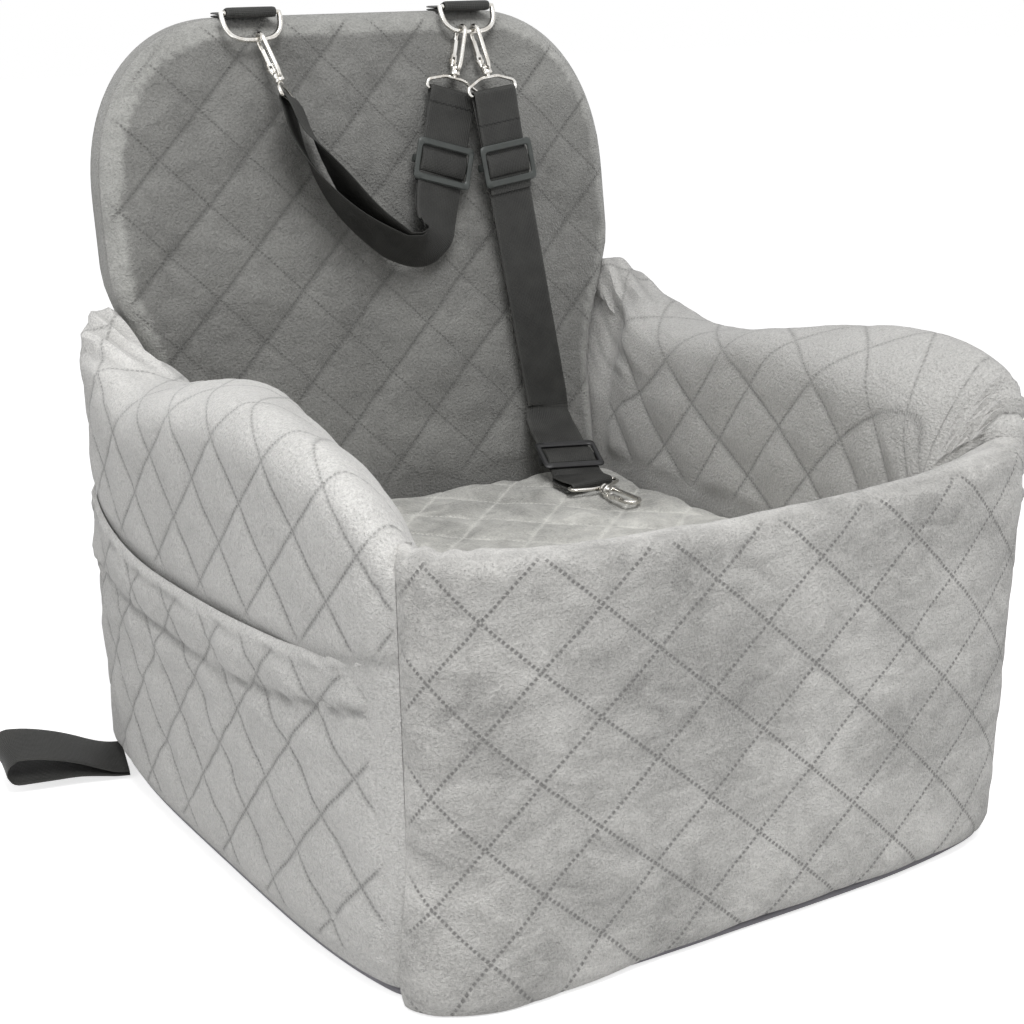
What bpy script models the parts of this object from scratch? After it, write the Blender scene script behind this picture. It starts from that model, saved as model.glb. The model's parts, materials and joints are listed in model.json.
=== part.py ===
"""Dog car seat: quilted booster seat with padded walls, a cushion, side pockets,
a headrest strap and a safety lead, both clipped to D-rings on the backrest.

Metres, +Z up. The origin is on the underside, in the middle of the footprint.
The front panel faces -Y, and the dog looks the same way.
"""

import math

import bmesh
import bpy
from mathutils import Matrix, Vector
from mathutils.geometry import delaunay_2d_cdt

# Clearances
GAP = 0.0003
SEAM_GAP = 0.0005
OVERRUN = 0.010

# Body
BODY_WIDTH = 0.460
BODY_DEPTH = 0.480
SIDE_BULGE = 0.020
FRONT_BULGE = 0.030
FRONT_INNER_BULGE = 0.020
BULGE_FULLNESS = 4
FRONT_SKEW = 0.3
WALL_FLARE = 0.030
SIDE_WALL = 0.042
FRONT_WALL = 0.038
ROLL_HEIGHT = 0.026
FRONT_ROLL_HEIGHT = 0.017
FRONT_HEIGHT = 0.286
FRONT_SAG = 0.010
ARM_RISE = 0.056
BASE_THICKNESS = 0.004
BASE_INSET = 0.003

# Fabric
COVER = 0.004
QUILT_SQUARE = 0.049
QUILT_RISE = 0.0030
SEAM_DRAW = 0.003
SEAM_REACH = 0.030
HEM_DRAW = 0.004
HEM_REACH = 0.012

# Backrest
BACK_TOP = 0.549
BACK_HALF_WIDTH = 0.217
BACK_THICKNESS = 0.032
BACK_EDGE = 0.006
BACK_CROWN_REACH = 0.090
BACK_RIM_SPACING = 0.044
BACK_CORE_SPACING = 0.080
BACK_SET = 0.046
BACK_LEAN = math.tan(math.radians(8.5))
BACK_BEND_Z = 0.190
BACK_CORNER_X = 0.112
BACK_CORNER_SHARE = 0.65
BACK_CORNER_FULLNESS = 2.2
BACK_NECK_Z = 0.3485
BACK_NECK_FILLET = 0.012

# Cushion and what lies under it
BOARD_THICKNESS = 0.006
BLOCK_HEIGHT = 0.098
CUSHION_HEIGHT = 0.074
CUSHION_CROWN = 0.006
CUSHION_EDGE = 0.012
CUSHION_CORNER = 0.030
CUSHION_DRAW = 0.002
CUSHION_CLEARANCE = 0.0015
ZIP_LENGTH = 0.240
ZIP_WIDTH = 0.008

# Side pockets
POCKET_FABRIC = 0.0025
POCKET_MOUTH_END = 0.222
POCKET_MOUTH_SAG = 0.040
POCKET_GAPE = 0.010

# Webbing and its metal
WEB_WIDTH = 0.040
WEB_THICKNESS = 0.0017
WEB_LAYER_GAP = 0.0005
SEWN_END = 0.022
RING_WIRE = 0.0040
RING_DEPTH = 0.0210
RING_FULLNESS = 3
RING_SIDE_PLAY = 0.0012
RING_TILT = math.radians(22.0)
RING_X = 0.092
RING_FORWARD = 0.008
TAB_TAIL = 0.014

# Snap hooks
HOOK_WIRE = 0.0034
HOOK_HALF_WIDTH = 0.0063
HOOK_SHANK = 0.0330
HOOK_PLAY = 0.0006
BARREL_RADIUS = 0.0042
BARREL_HEIGHT = 0.0070
ARM_HEIGHT = 0.0125
GATE_LENGTH = 0.0165
GATE_THICKNESS = 0.0030
GATE_CHEEK = 0.0012
LUG_THICKNESS = 0.0016
LUG_RADIUS = 0.0025
PIN_RADIUS = 0.0008
THUMB_REACH = 0.0020
THUMB_HEIGHT = 0.0060
POST_RADIUS = 0.0016
HEAD_RADIUS = 0.0029
HEAD_HEIGHT = 0.0014
EYE_WIRE = 0.0028
EYE_TOP_HALF = 0.0080
EYE_DROP = 0.0145
EYE_NECK = 0.0022
EYE_SHOULDER = 0.0062

# Sliders
SLIDER_HEIGHT = 0.0330
SLIDER_BAR = 0.0045
SLIDER_RAIL = 0.0034
SLIDER_THICKNESS = 0.0022
SLIDER_CORNER = 0.0035
WEB_END = 0.006

# Headrest strap
HEADREST_DROP = 0.116
HEADREST_STANDOFF = 0.0220
HEADREST_OPENING = 0.0055
HEADREST_RUN = 0.080
LEFT_HOOK_OFFSET = 0.004
RIGHT_HOOK_OFFSET = -0.009
HEADREST_SLIDER_DROP = 0.056

# Lead
LEAD_HOOK_OFFSET = 0.003
LEAD_RUN_SHARE = 0.683
LEAD_SIDESTEP = 0.024
LEAD_REACH = 0.100
HOOK_REST_GAP = 0.0008
LEAD_SLIDER_DROP = 0.056

# Tether loop at the rear left corner
TETHER_LENGTH = 0.090
TETHER_HEIGHT = 0.019
TETHER_SET = 0.046
TETHER_SWEEP = 0.016
TETHER_TILT = math.radians(16.0)
TETHER_FLOOR = 0.0005
TETHER_LIFT = 0.0050

# Shares that shape curves
# Arm tops: (share of the depth from front to back, share of ARM_RISE over the front height)
LEFT_ARM_SHARES = (
    (0.00, 0.02), (0.035, 0.26), (0.08, 0.52), (0.145, 0.74), (0.20, 0.84), (0.256, 0.90),
    (0.335, 0.94), (0.415, 0.92), (0.54, 0.76), (0.644, 0.58), (0.72, 0.44), (0.777, 0.42),
    (0.83, 0.55), (0.90, 0.76), (0.9375, 0.84), (1.00, 0.95),
)
RIGHT_ARM_SHARES = (
    (0.00, 0.10), (0.029, 0.52), (0.06, 0.74), (0.10, 0.89), (0.181, 1.00), (0.24, 1.00),
    (0.308, 0.94), (0.38, 0.83), (0.446, 0.70), (0.567, 0.49), (0.677, 0.40), (0.765, 0.43),
    (0.846, 0.60), (0.9375, 0.83), (1.00, 0.92),
)
# Headrest strap: (share of span, share of drop, share of standoff, share of a quarter twist)
HEADREST_ROUTE_SHARES = (
    (0.05, 0.20, 1.00, 1.00), (0.13, 0.42, 1.00, 1.00), (0.26, 0.66, 1.00, 1.00),
    (0.43, 0.88, 1.00, 1.00), (0.59, 0.99, 1.00, 1.00), (0.71, 1.00, 1.00, 0.85),
    (0.785, 0.92, 0.86, 0.50), (0.815, 0.82, 0.66, 0.18),
)
# Lead past its straight run: (share of the sidestep, share of the drop, share of the reach)
LEAD_ROUTE_SHARES = (
    (0.05, 0.17, 0.02), (0.16, 0.34, 0.10), (0.32, 0.48, 0.24), (0.47, 0.61, 0.38),
    (0.60, 0.73, 0.505), (0.73, 0.85, 0.63), (0.86, 0.97, 0.755),
)
LEAD_STRAIGHT_ROWS = (3, 6)
# Place of the lead's lower slider along its straight rows, from the lower end
LEAD_SLIDER_SHARE = 0.53
# Share of the headrest strap's length over which its two layers part
OPENING_SHARE = 0.5
# Places round a cushion's corner, as shares of its quarter turn
CORNER_SHARES = (0.33, 0.67)

# Directions from each eye up to its hook, and along each eye's bar
LEFT_HOOK_UP = (-0.22, 0.44, 0.87)
LEFT_EYE_ALONG = (0.50, 0.86, 0.0)
RIGHT_HOOK_UP = (0.30, 0.19, 1.0)
LEAD_HOOK_UP = (-0.15, 0.36, 1.0)
LEAD_RUN_UP = (-0.125, 0.12, 1.0)
DOG_HOOK_UP = (0.12, -0.99, 0.0)

LATTICE = QUILT_SQUARE / math.sqrt(2)
STEP = LATTICE / 2

HALF_WIDTH = BODY_WIDTH / 2
FRONT_Y = -BODY_DEPTH / 2
REAR_Y = BODY_DEPTH / 2
BACK_FACE_Y = REAR_Y - BACK_SET
TETHER_Y = REAR_Y - TETHER_SET
WALL_BOTTOM = BASE_THICKNESS + GAP
BOARD_BOTTOM = BASE_THICKNESS + GAP
BLOCK_BOTTOM = BOARD_BOTTOM + BOARD_THICKNESS + GAP
CUSHION_BOTTOM = BLOCK_BOTTOM + BLOCK_HEIGHT + GAP
CUSHION_TOP = CUSHION_BOTTOM + CUSHION_HEIGHT
FLAT_TOP = FRONT_HEIGHT - ROLL_HEIGHT - FRONT_SAG / 2
LEAD_RUN = LEAD_RUN_SHARE * (BACK_TOP - CUSHION_TOP)

# Colours, roughness and metallic values
VELVET = ("velvet", (0.42, 0.42, 0.41), 0.85, 0.0)
VELVET_DARK = ("velvet_dark", (0.17, 0.17, 0.165), 0.85, 0.0)
BASE_CLOTH = ("base_cloth", (0.26, 0.25, 0.27), 0.80, 0.0)
FOAM = ("foam", (0.86, 0.84, 0.76), 0.90, 0.0)
BOARD = ("board", (0.36, 0.26, 0.17), 0.75, 0.0)
WEBBING = ("webbing", (0.022, 0.022, 0.021), 0.60, 0.0)
NICKEL = ("nickel", (0.75, 0.73, 0.69), 0.22, 1.0)
PLASTIC = ("slider_plastic", (0.075, 0.08, 0.078), 0.45, 0.0)


def material(kind):
    """The shared Principled material of one finish."""
    name, colour, roughness, metallic = kind
    found = bpy.data.materials.get(name)
    if found:
        return found
    made = bpy.data.materials.new(name)
    made.use_nodes = True
    shader = made.node_tree.nodes["Principled BSDF"]
    shader.inputs["Base Color"].default_value = (*colour, 1.0)
    shader.inputs["Roughness"].default_value = roughness
    shader.inputs["Metallic"].default_value = metallic
    made.diffuse_color = (*colour, 1.0)
    return made


def new_mesh(name, points, faces, smooth=True):
    """A mesh with its faces turned outward."""
    mesh = bpy.data.meshes.new(name)
    work = bmesh.new()
    verts = [work.verts.new(point) for point in points]
    for face in faces:
        work.faces.new([verts[index] for index in face])
    bmesh.ops.recalc_face_normals(work, faces=work.faces)
    work.to_mesh(mesh)
    work.free()
    if smooth:
        mesh.shade_smooth()
        mesh.set_sharp_from_angle(angle=math.radians(50))
    return mesh


def add_object(name, mesh, kind, place=None, parent=None):
    """An object of one finish, placed by a matrix."""
    made = bpy.data.objects.new(name, mesh)
    bpy.context.scene.collection.objects.link(made)
    if not mesh.materials:
        mesh.materials.append(material(kind))
    if parent is not None:
        made.parent = parent
    if place is not None:
        made.matrix_basis = place
    return made


def add_helper(name, mesh):
    """A hidden shape that only a Boolean reads."""
    made = bpy.data.objects.new(name, mesh)
    bpy.context.scene.collection.objects.link(made)
    made.hide_render = True
    made.display_type = "WIRE"
    return made


def boolean(target, helper, operation):
    """Join or cut a target with a hidden shape."""
    step = target.modifiers.new(operation.title(), "BOOLEAN")
    step.operation = operation
    step.solver = "EXACT"
    step.object = helper
    return step


def finished_mesh(name, mesh, steps):
    """The mesh left when a list of (mesh, operation) has been worked on a first mesh."""
    target = add_helper(name + "_work", mesh)
    helpers = [target]
    for number, (shape, operation) in enumerate(steps):
        helper = add_helper("%s_step_%d" % (name, number), shape)
        boolean(target, helper, operation)
        helpers.append(helper)
    graph = bpy.context.evaluated_depsgraph_get()
    result = bpy.data.meshes.new_from_object(target.evaluated_get(graph))
    result.name = name
    for helper in helpers:
        bpy.data.objects.remove(helper)
    result.shade_smooth()
    result.set_sharp_from_angle(angle=math.radians(40))
    return result


def smooth_step(value):
    """0 below 0, 1 above 1 and a smooth rise between."""
    value = min(max(value, 0.0), 1.0)
    return value * value * (3 - 2 * value)


def curve_value(table, x):
    """Read a smooth curve through a table of (x, y) at x."""
    if x <= table[0][0]:
        return table[0][1]
    if x >= table[-1][0]:
        return table[-1][1]
    index = max(i for i in range(len(table) - 1) if table[i][0] <= x)
    x0, y0 = table[index]
    x1, y1 = table[index + 1]

    def slope(i):
        if i == 0 or i == len(table) - 1:
            j = min(i, len(table) - 2)
            return (table[j + 1][1] - table[j][1]) / (table[j + 1][0] - table[j][0])
        return (table[i + 1][1] - table[i - 1][1]) / (table[i + 1][0] - table[i - 1][0])

    span = x1 - x0
    t = (x - x0) / span
    a = (2 * t ** 3 - 3 * t ** 2 + 1) * y0 + (t ** 3 - 2 * t ** 2 + t) * span * slope(index)
    b = (-2 * t ** 3 + 3 * t ** 2) * y1 + (t ** 3 - t ** 2) * span * slope(index + 1)
    return a + b


def puff(u, v):
    """Height of the quilting at a place on a panel: zero on its stitch lines."""
    a = math.sin(math.pi * (u + v) / (2 * LATTICE))
    b = math.sin(math.pi * (u - v) / (2 * LATTICE))
    return QUILT_RISE * abs(a * b) ** 0.6


def lattice_values(low, high, margin, step=STEP):
    """The quilting's steps between two ends, with the ends themselves."""
    first = math.ceil((low + margin) / step)
    last = math.floor((high - margin) / step)
    return [low] + [number * step for number in range(first, last + 1)] + [high]


def split_quad(quad, heights):
    """Two triangles whose shared edge joins the two lower corners."""
    a, b, c, d = quad
    if heights[a] + heights[c] <= heights[b] + heights[d]:
        return [(a, b, c), (a, c, d)]
    return [(a, b, d), (b, c, d)]


def loft(name, sections, heights=None, smooth=True):
    """A closed solid through closed sections with as many points each."""
    count = len(sections[0])
    points = [point for section in sections for point in section]
    level = [0.0] * len(points)
    if heights:
        level = [value for section in heights for value in section]
    faces = [tuple(range(count)), tuple(range(len(points) - count, len(points)))]
    for row in range(len(sections) - 1):
        for column in range(count):
            after = (column + 1) % count
            quad = (row * count + column, row * count + after,
                    (row + 1) * count + after, (row + 1) * count + column)
            faces.extend(split_quad(quad, level))
    return new_mesh(name, points, faces, smooth)


def turned(name, profile, sides, axis="Z"):
    """A solid turned about an axis from (radius, height) points, closed at both ends."""
    points = []
    for radius, height in profile:
        for number in range(sides):
            angle = 2 * math.pi * (number + 0.5) / sides
            x, y = radius * math.cos(angle), radius * math.sin(angle)
            points.append((x, y, height) if axis == "Z" else (x, height, y))
    faces = [tuple(range(sides)), tuple(range(len(points) - sides, len(points)))]
    for row in range(len(profile) - 1):
        for number in range(sides):
            after = (number + 1) % sides
            faces.append((row * sides + number, row * sides + after,
                          (row + 1) * sides + after, (row + 1) * sides + number))
    return new_mesh(name, points, faces)


def tube_mesh(name, path, radius, sides, closed=False):
    """A round wire along a path that lies in the XZ plane."""
    count = len(path)
    points = []
    for index, here in enumerate(path):
        before = path[index - 1] if closed or index else here
        after = path[(index + 1) % count] if closed or index < count - 1 else here
        along = Vector((after[0] - before[0], 0, after[1] - before[1])).normalized()
        side = Vector((0, 1, 0))
        across = along.cross(side)
        for number in range(sides):
            angle = 2 * math.pi * (number + 0.5) / sides
            offset = side * (radius * math.cos(angle)) + across * (radius * math.sin(angle))
            points.append(Vector((here[0], 0, here[1])) + offset)
    rings = count if closed else count - 1
    faces = []
    if not closed:
        faces = [tuple(range(sides)), tuple(range(len(points) - sides, len(points)))]
    for row in range(rings):
        nxt = (row + 1) % count
        for number in range(sides):
            after = (number + 1) % sides
            faces.append((row * sides + number, row * sides + after,
                          nxt * sides + after, nxt * sides + number))
    return new_mesh(name, points, faces)


def rounded_path(corners, radius, steps):
    """A closed path through corners, each rounded by a short curve."""
    path = []
    count = len(corners)
    for index in range(count):
        here = Vector(corners[index])
        before = (Vector(corners[index - 1]) - here).normalized()
        after = (Vector(corners[(index + 1) % count]) - here).normalized()
        for number in range(steps + 1):
            t = number / steps
            a = here + before * radius * (1 - t)
            b = here + after * radius * t
            path.append(tuple(a.lerp(b, t)))
    return path


def ring_prism(name, outer, inner, low, high):
    """A flat ring between two outlines in XZ, from low to high along Y."""
    count = len(outer)
    loops = [[(x, low, z) for x, z in outer], [(x, high, z) for x, z in outer],
             [(x, high, z) for x, z in inner], [(x, low, z) for x, z in inner]]
    points = [point for loop in loops for point in loop]
    faces = []
    for row in range(4):
        nxt = (row + 1) % 4
        for number in range(count):
            after = (number + 1) % count
            faces.append((row * count + number, row * count + after,
                          nxt * count + after, nxt * count + number))
    return new_mesh(name, points, faces)


def prism(name, outline, low, high, axis="Z"):
    """A solid between two levels on one outline."""
    def place(u, v, w):
        return {"Z": (u, v, w), "Y": (u, w, v), "X": (w, u, v)}[axis]
    return loft(name, [[place(u, v, low) for u, v in outline],
                       [place(u, v, high) for u, v in outline]], smooth=False)


def remove_old_scene():
    for old in list(bpy.data.objects):
        bpy.data.objects.remove(old)


# The body's plan and heights

def side_bulge(share):
    """How far a side panel stands out at a share of the depth."""
    return SIDE_BULGE * (1 - abs(2 * share - 1) ** BULGE_FULLNESS)


def front_bulge(share):
    """How far the front panel stands out at a share of the half width."""
    return FRONT_BULGE * (1 - abs(share) ** BULGE_FULLNESS) * (1 - FRONT_SKEW * share)


def flare(z):
    """How far an outer face stands out at a height, as the walls lean outward."""
    return WALL_FLARE * (z - WALL_BOTTOM)


def seam_draw(distance):
    """How far a seam pulls the surface in at a distance from it."""
    return SEAM_DRAW * max(0.0, 1 - distance / SEAM_REACH) ** 2


def arm_top(sign, share):
    """Height of an arm's top at a share of the depth."""
    table = LEFT_ARM_SHARES if sign < 0 else RIGHT_ARM_SHARES
    return FRONT_HEIGHT + ARM_RISE * curve_value(table, share)


def hem_draw(z):
    return HEM_DRAW * max(0.0, 1 - (z - WALL_BOTTOM) / HEM_REACH)


def wall_profile(outer, inner, top, roll, rows, arcs, inset, bottom):
    """One wall section as (depth, height, outward depth, outward height) points.

    Outer and inner are depths from the wall's nominal outer face. The section goes up
    the outside, over a rolled top and down the inside.
    """
    outer = outer + inset
    inner = inner - inset
    top = top - inset
    centre = top - roll
    middle = (outer - flare(centre) + inner) / 2
    half = inner - middle
    section = []
    low_rows, blend_rows, inner_rows = rows
    for z in [bottom] + low_rows:
        draw = hem_draw(z) if inset == 0 else 0.0
        section.append((outer + draw - flare(z), z, -1.0, 0.0))
    start = low_rows[-1] if low_rows else bottom
    for number in range(1, blend_rows + 1):
        z = start + (centre - start) * number / blend_rows
        section.append((outer - flare(z), z, -1.0, 0.0))
    for number in range(1, arcs):
        angle = math.pi * number / arcs
        across, up = -math.cos(angle), math.sin(angle)
        section.append((middle + half * across, centre + roll * up, across, up))
    for number in range(blend_rows + 1):
        z = centre - (centre - start) * number / blend_rows
        section.append((inner, z, 1.0, 0.0))
    for z in inner_rows + [bottom]:
        section.append((inner, z, 1.0, 0.0))
    return section


def side_place(sign, y, depth, height, inset=0.0):
    """A point of a side wall at a depth from its nominal face, with the front end mitred."""
    share = (y - FRONT_Y) / BODY_DEPTH
    mitre = (depth + inset * math.sqrt(2) + SEAM_GAP / 2) * (1 - share)
    return (sign * (HALF_WIDTH - depth), y + mitre - inset * share, height)


def side_skin(y):
    """Depth of a side's outer face at a place along it, negative where it bulges."""
    share = (y - FRONT_Y) / BODY_DEPTH
    return seam_draw(min(y - FRONT_Y, REAR_Y - y)) - side_bulge(share)


def side_wall(name, sign, columns, rows, arcs, inset, bottom, quilted):
    """A side wall: its front end is mitred, its rear end is square."""
    sections = []
    heights = []
    for y in columns:
        share = (y - FRONT_Y) / BODY_DEPTH
        ends = min(y - FRONT_Y, REAR_Y - y)
        profile = wall_profile(side_skin(y), SIDE_WALL, arm_top(sign, share), ROLL_HEIGHT, rows, arcs,
                               inset, bottom)
        section = []
        level = []
        along = 0.0
        last = profile[0]
        for depth, z, out_depth, out_z in profile:
            along += math.hypot(depth - last[0], z - last[1])
            last = (depth, z)
            rise = 0.0
            if quilted:
                low = pocket_mouth(share) + STEP / 2 if out_depth < 0 else CUSHION_TOP
                shown = smooth_step((z - low) / STEP)
                fade = smooth_step(ends / SEAM_REACH)
                if out_depth > 0:
                    fade *= smooth_step((back_face_y(z) - 2 * QUILT_RISE - y) / STEP)
                side_height = z if abs(out_z) < 0.5 else WALL_BOTTOM + along
                rise = puff(y, side_height) * shown * fade
            section.append(side_place(sign, y, depth + out_depth * rise, z + out_z * rise, inset))
            level.append(rise)
        sections.append(section)
        heights.append(level)
    return loft(name, sections, heights)


def front_wall(name, columns, rows, arcs, inset, bottom, quilted):
    """The front wall: both ends are mitred, its plan is bowed outward."""
    sections = []
    heights = []
    for x in columns:
        share = x / HALF_WIDTH
        bow = 1 - share * share
        ends = HALF_WIDTH - abs(x)
        outer = seam_draw(ends) - front_bulge(share)
        inner = FRONT_WALL - FRONT_INNER_BULGE * bow
        profile = wall_profile(outer, inner, FRONT_HEIGHT - FRONT_SAG * bow, FRONT_ROLL_HEIGHT,
                               rows, arcs, inset, bottom)
        section = []
        level = []
        for depth, z, out_depth, out_z in profile:
            rise = 0.0
            if quilted and out_depth < 0:
                shown = smooth_step((FRONT_HEIGHT - FRONT_ROLL_HEIGHT - z) / STEP)
                fade = smooth_step(ends / SEAM_REACH)
                rise = puff(x, z) * shown * fade
            d = depth + out_depth * rise
            mitre = (d + inset * math.sqrt(2) + SEAM_GAP / 2) * share
            section.append((x - mitre, FRONT_Y + d, z + out_z * rise))
            level.append(rise)
        sections.append(section)
        heights.append(level)
    return loft(name, sections, heights)


def make_walls():
    """Side and front walls: a foam core in each quilted cover."""
    y_columns = [FRONT_Y, FRONT_Y + HEM_REACH] + lattice_values(FRONT_Y, REAR_Y, SEAM_REACH)[1:-1]
    y_columns += [REAR_Y - HEM_REACH, REAR_Y]
    x_columns = [-HALF_WIDTH, HEM_REACH - HALF_WIDTH]
    x_columns += lattice_values(-HALF_WIDTH, HALF_WIDTH, SEAM_REACH)[1:-1]
    x_columns += [HALF_WIDTH - HEM_REACH, HALF_WIDTH]
    pocket_low = POCKET_MOUTH_END - POCKET_MOUTH_SAG - STEP
    upper = lattice_values(pocket_low, FLAT_TOP, STEP / 2)[1:-1]
    side_low = [WALL_BOTTOM + HEM_REACH, pocket_low / 2] + upper
    inner_rows = [CUSHION_BOTTOM + CUSHION_HEIGHT / 2]
    inner_shown = lattice_values(CUSHION_TOP, FLAT_TOP - STEP, -GAP)[1:-1]
    side_rows = (side_low, 2, list(reversed(inner_shown)) + inner_rows)
    front_low = [WALL_BOTTOM + HEM_REACH]
    front_low += lattice_values(WALL_BOTTOM, FLAT_TOP, HEM_REACH + STEP / 2)[1:-1]
    front_rows = (front_low, 1, inner_rows)
    core_columns = [FRONT_Y + (REAR_Y - FRONT_Y) * n / 12 for n in range(13)]
    front_core = [HALF_WIDTH * (n / 5 - 1) for n in range(11)]
    core_rows = ([], 1, [])
    below = -OVERRUN
    for sign, side in ((-1, "left"), (1, "right")):
        skin = side_wall(side + "_skin", sign, y_columns, side_rows, 6, 0.0, WALL_BOTTOM, True)
        hollow = side_wall(side + "_hollow", sign, core_columns, core_rows, 6, COVER, below, False)
        cover = finished_mesh(side + "_cover", skin, [(hollow, "DIFFERENCE")])
        add_object(side + "_cover", cover, VELVET)
        foam = side_wall(side + "_foam", sign, core_columns, core_rows, 6, COVER + GAP,
                         WALL_BOTTOM + GAP, False)
        add_object(side + "_foam", foam, FOAM)
    skin = front_wall("front_skin", x_columns, front_rows, 6, 0.0, WALL_BOTTOM, True)
    hollow = front_wall("front_hollow", front_core, core_rows, 6, COVER, below, False)
    cover = finished_mesh("front_cover", skin, [(hollow, "DIFFERENCE")])
    add_object("front_cover", cover, VELVET)
    foam = front_wall("front_foam", front_core, core_rows, 6, COVER + GAP, WALL_BOTTOM + GAP, False)
    add_object("front_foam", foam, FOAM)


# Quilted slabs: the backrest and the cushion

def spaced(outline, spacing):
    """Points along a closed outline, no farther apart than the spacing."""
    result = []
    for index, here in enumerate(outline):
        after = outline[(index + 1) % len(outline)]
        length = math.dist(here, after)
        parts = max(1, math.ceil(length / spacing - 0.001))
        for number in range(parts):
            t = number / parts
            result.append((here[0] + (after[0] - here[0]) * t, here[1] + (after[1] - here[1]) * t))
    return result


def inset_outline(outline, amount):
    """A counter-clockwise outline moved inward along its corner normals."""
    result = []
    count = len(outline)
    for index in range(count):
        before = Vector(outline[index - 1])
        here = Vector(outline[index])
        after = Vector(outline[(index + 1) % count])
        first = (here - before).normalized()
        second = (after - here).normalized()
        normal = Vector((-first.y - second.y, first.x + second.x))
        normal.normalize()
        scale = max(0.5, normal.dot(Vector((-first.y, first.x))))
        result.append(tuple(here + normal * amount / scale))
    return result


def outline_distance(outline, point):
    """Distance from a point to a closed outline, negative outside."""
    best = None
    inside = False
    x, y = point
    for index, (x0, y0) in enumerate(outline):
        x1, y1 = outline[(index + 1) % len(outline)]
        dx, dy = x1 - x0, y1 - y0
        t = ((x - x0) * dx + (y - y0) * dy) / (dx * dx + dy * dy)
        t = min(max(t, 0.0), 1.0)
        reach = math.hypot(x - x0 - t * dx, y - y0 - t * dy)
        best = reach if best is None else min(best, reach)
        if (y0 > y) != (y1 > y) and x < x0 + (y - y0) / dy * dx:
            inside = not inside
    return best if inside else -best


def lattice_points(outline, margin, keep, step=STEP):
    """Quilting lattice points inside an outline, with the stitch edges between them."""
    parts = round(2 * LATTICE / step)
    xs = [point[0] for point in outline]
    ys = [point[1] for point in outline]
    index_of = {}
    points = []
    for i in range(math.ceil(min(xs) / step), math.floor(max(xs) / step) + 1):
        for j in range(math.ceil(min(ys) / step), math.floor(max(ys) / step) + 1):
            point = (i * step, j * step)
            if keep(point) and outline_distance(outline, point) > margin:
                index_of[(i, j)] = len(points)
                points.append(point)
    edges = []
    for (i, j), number in index_of.items():
        if (i + j) % parts == 0 and (i + 1, j - 1) in index_of:
            edges.append((number, index_of[(i + 1, j - 1)]))
        if (i - j) % parts == 0 and (i + 1, j + 1) in index_of:
            edges.append((number, index_of[(i + 1, j + 1)]))
    return points, edges


def fill(outline, points, edges):
    """Triangles that fill an outline through inner points."""
    count = len(outline)
    flat = [Vector(point) for point in outline] + [Vector(point) for point in points]
    lines = [(index, (index + 1) % count) for index in range(count)]
    lines += [(a + count, b + count) for a, b in edges]
    _, _, faces, origins, _, _ = delaunay_2d_cdt(flat, lines, [], 1, 1e-7)
    return [tuple(origins[corner][0] for corner in face) for face in faces]


def slab(name, outline, bands, front, back, place):
    """A closed slab between two filled faces.

    Bands are (inset, level) pairs from the front face's rim to the back face's rim.
    Front and back are (points, edges) inside their rims, and place turns
    (u, v, level, face) into a point, where face is 1 on the front, -1 on the back.
    """
    loops = [inset_outline(outline, inset) if inset else list(outline) for inset, _ in bands]
    count = len(outline)
    points = []
    for loop, (_, level) in zip(loops, bands):
        points += [place(u, v, level, 0) for u, v in loop]
    faces = []
    for row in range(len(bands) - 1):
        for number in range(count):
            after = (number + 1) % count
            faces.append((row * count + number, row * count + after,
                          (row + 1) * count + after, (row + 1) * count + number))
    for face, first, loop, level, (inner, edges) in (
            (1, 0, loops[0], bands[0][1], front),
            (-1, (len(bands) - 1) * count, loops[-1], bands[-1][1], back)):
        base = len(points)
        points += [place(u, v, level, face) for u, v in inner]
        for triangle in fill(loop, inner, edges):
            faces.append(tuple(first + c if c < count else base + c - count for c in triangle))
    return new_mesh(name, points, faces)


def back_face_y(z):
    """The backrest's front face: upright below its bend, leaning back above it."""
    return BACK_FACE_Y + max(0.0, z - BACK_BEND_Z) * BACK_LEAN


def back_outline(inset, bottom, steps):
    """Half width against height, mirrored into a closed outline."""
    waist = HALF_WIDTH - SIDE_WALL - SEAM_GAP - inset
    wide = BACK_HALF_WIDTH - inset
    top = BACK_TOP - inset
    neck = BACK_NECK_Z + inset
    corner_x = BACK_CORNER_X - inset
    corner_z = BACK_CORNER_SHARE * (top - neck)
    right = [(waist, bottom), (waist, BACK_BEND_Z), (waist, neck)]
    right.append((wide - BACK_NECK_FILLET / 2, neck))
    right.append((wide - BACK_NECK_FILLET / 8, neck + BACK_NECK_FILLET / 2))
    right.append((wide, neck + 2 * BACK_NECK_FILLET))
    for number in range(steps + 1):
        angle = math.pi / 2 * number / steps
        across = abs(math.cos(angle)) ** (2 / BACK_CORNER_FULLNESS)
        up = abs(math.sin(angle)) ** (2 / BACK_CORNER_FULLNESS)
        right.append((wide - corner_x + corner_x * across, top - corner_z + corner_z * up))
    left = [(-x, z) for x, z in reversed(right)]
    return right + left


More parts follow.
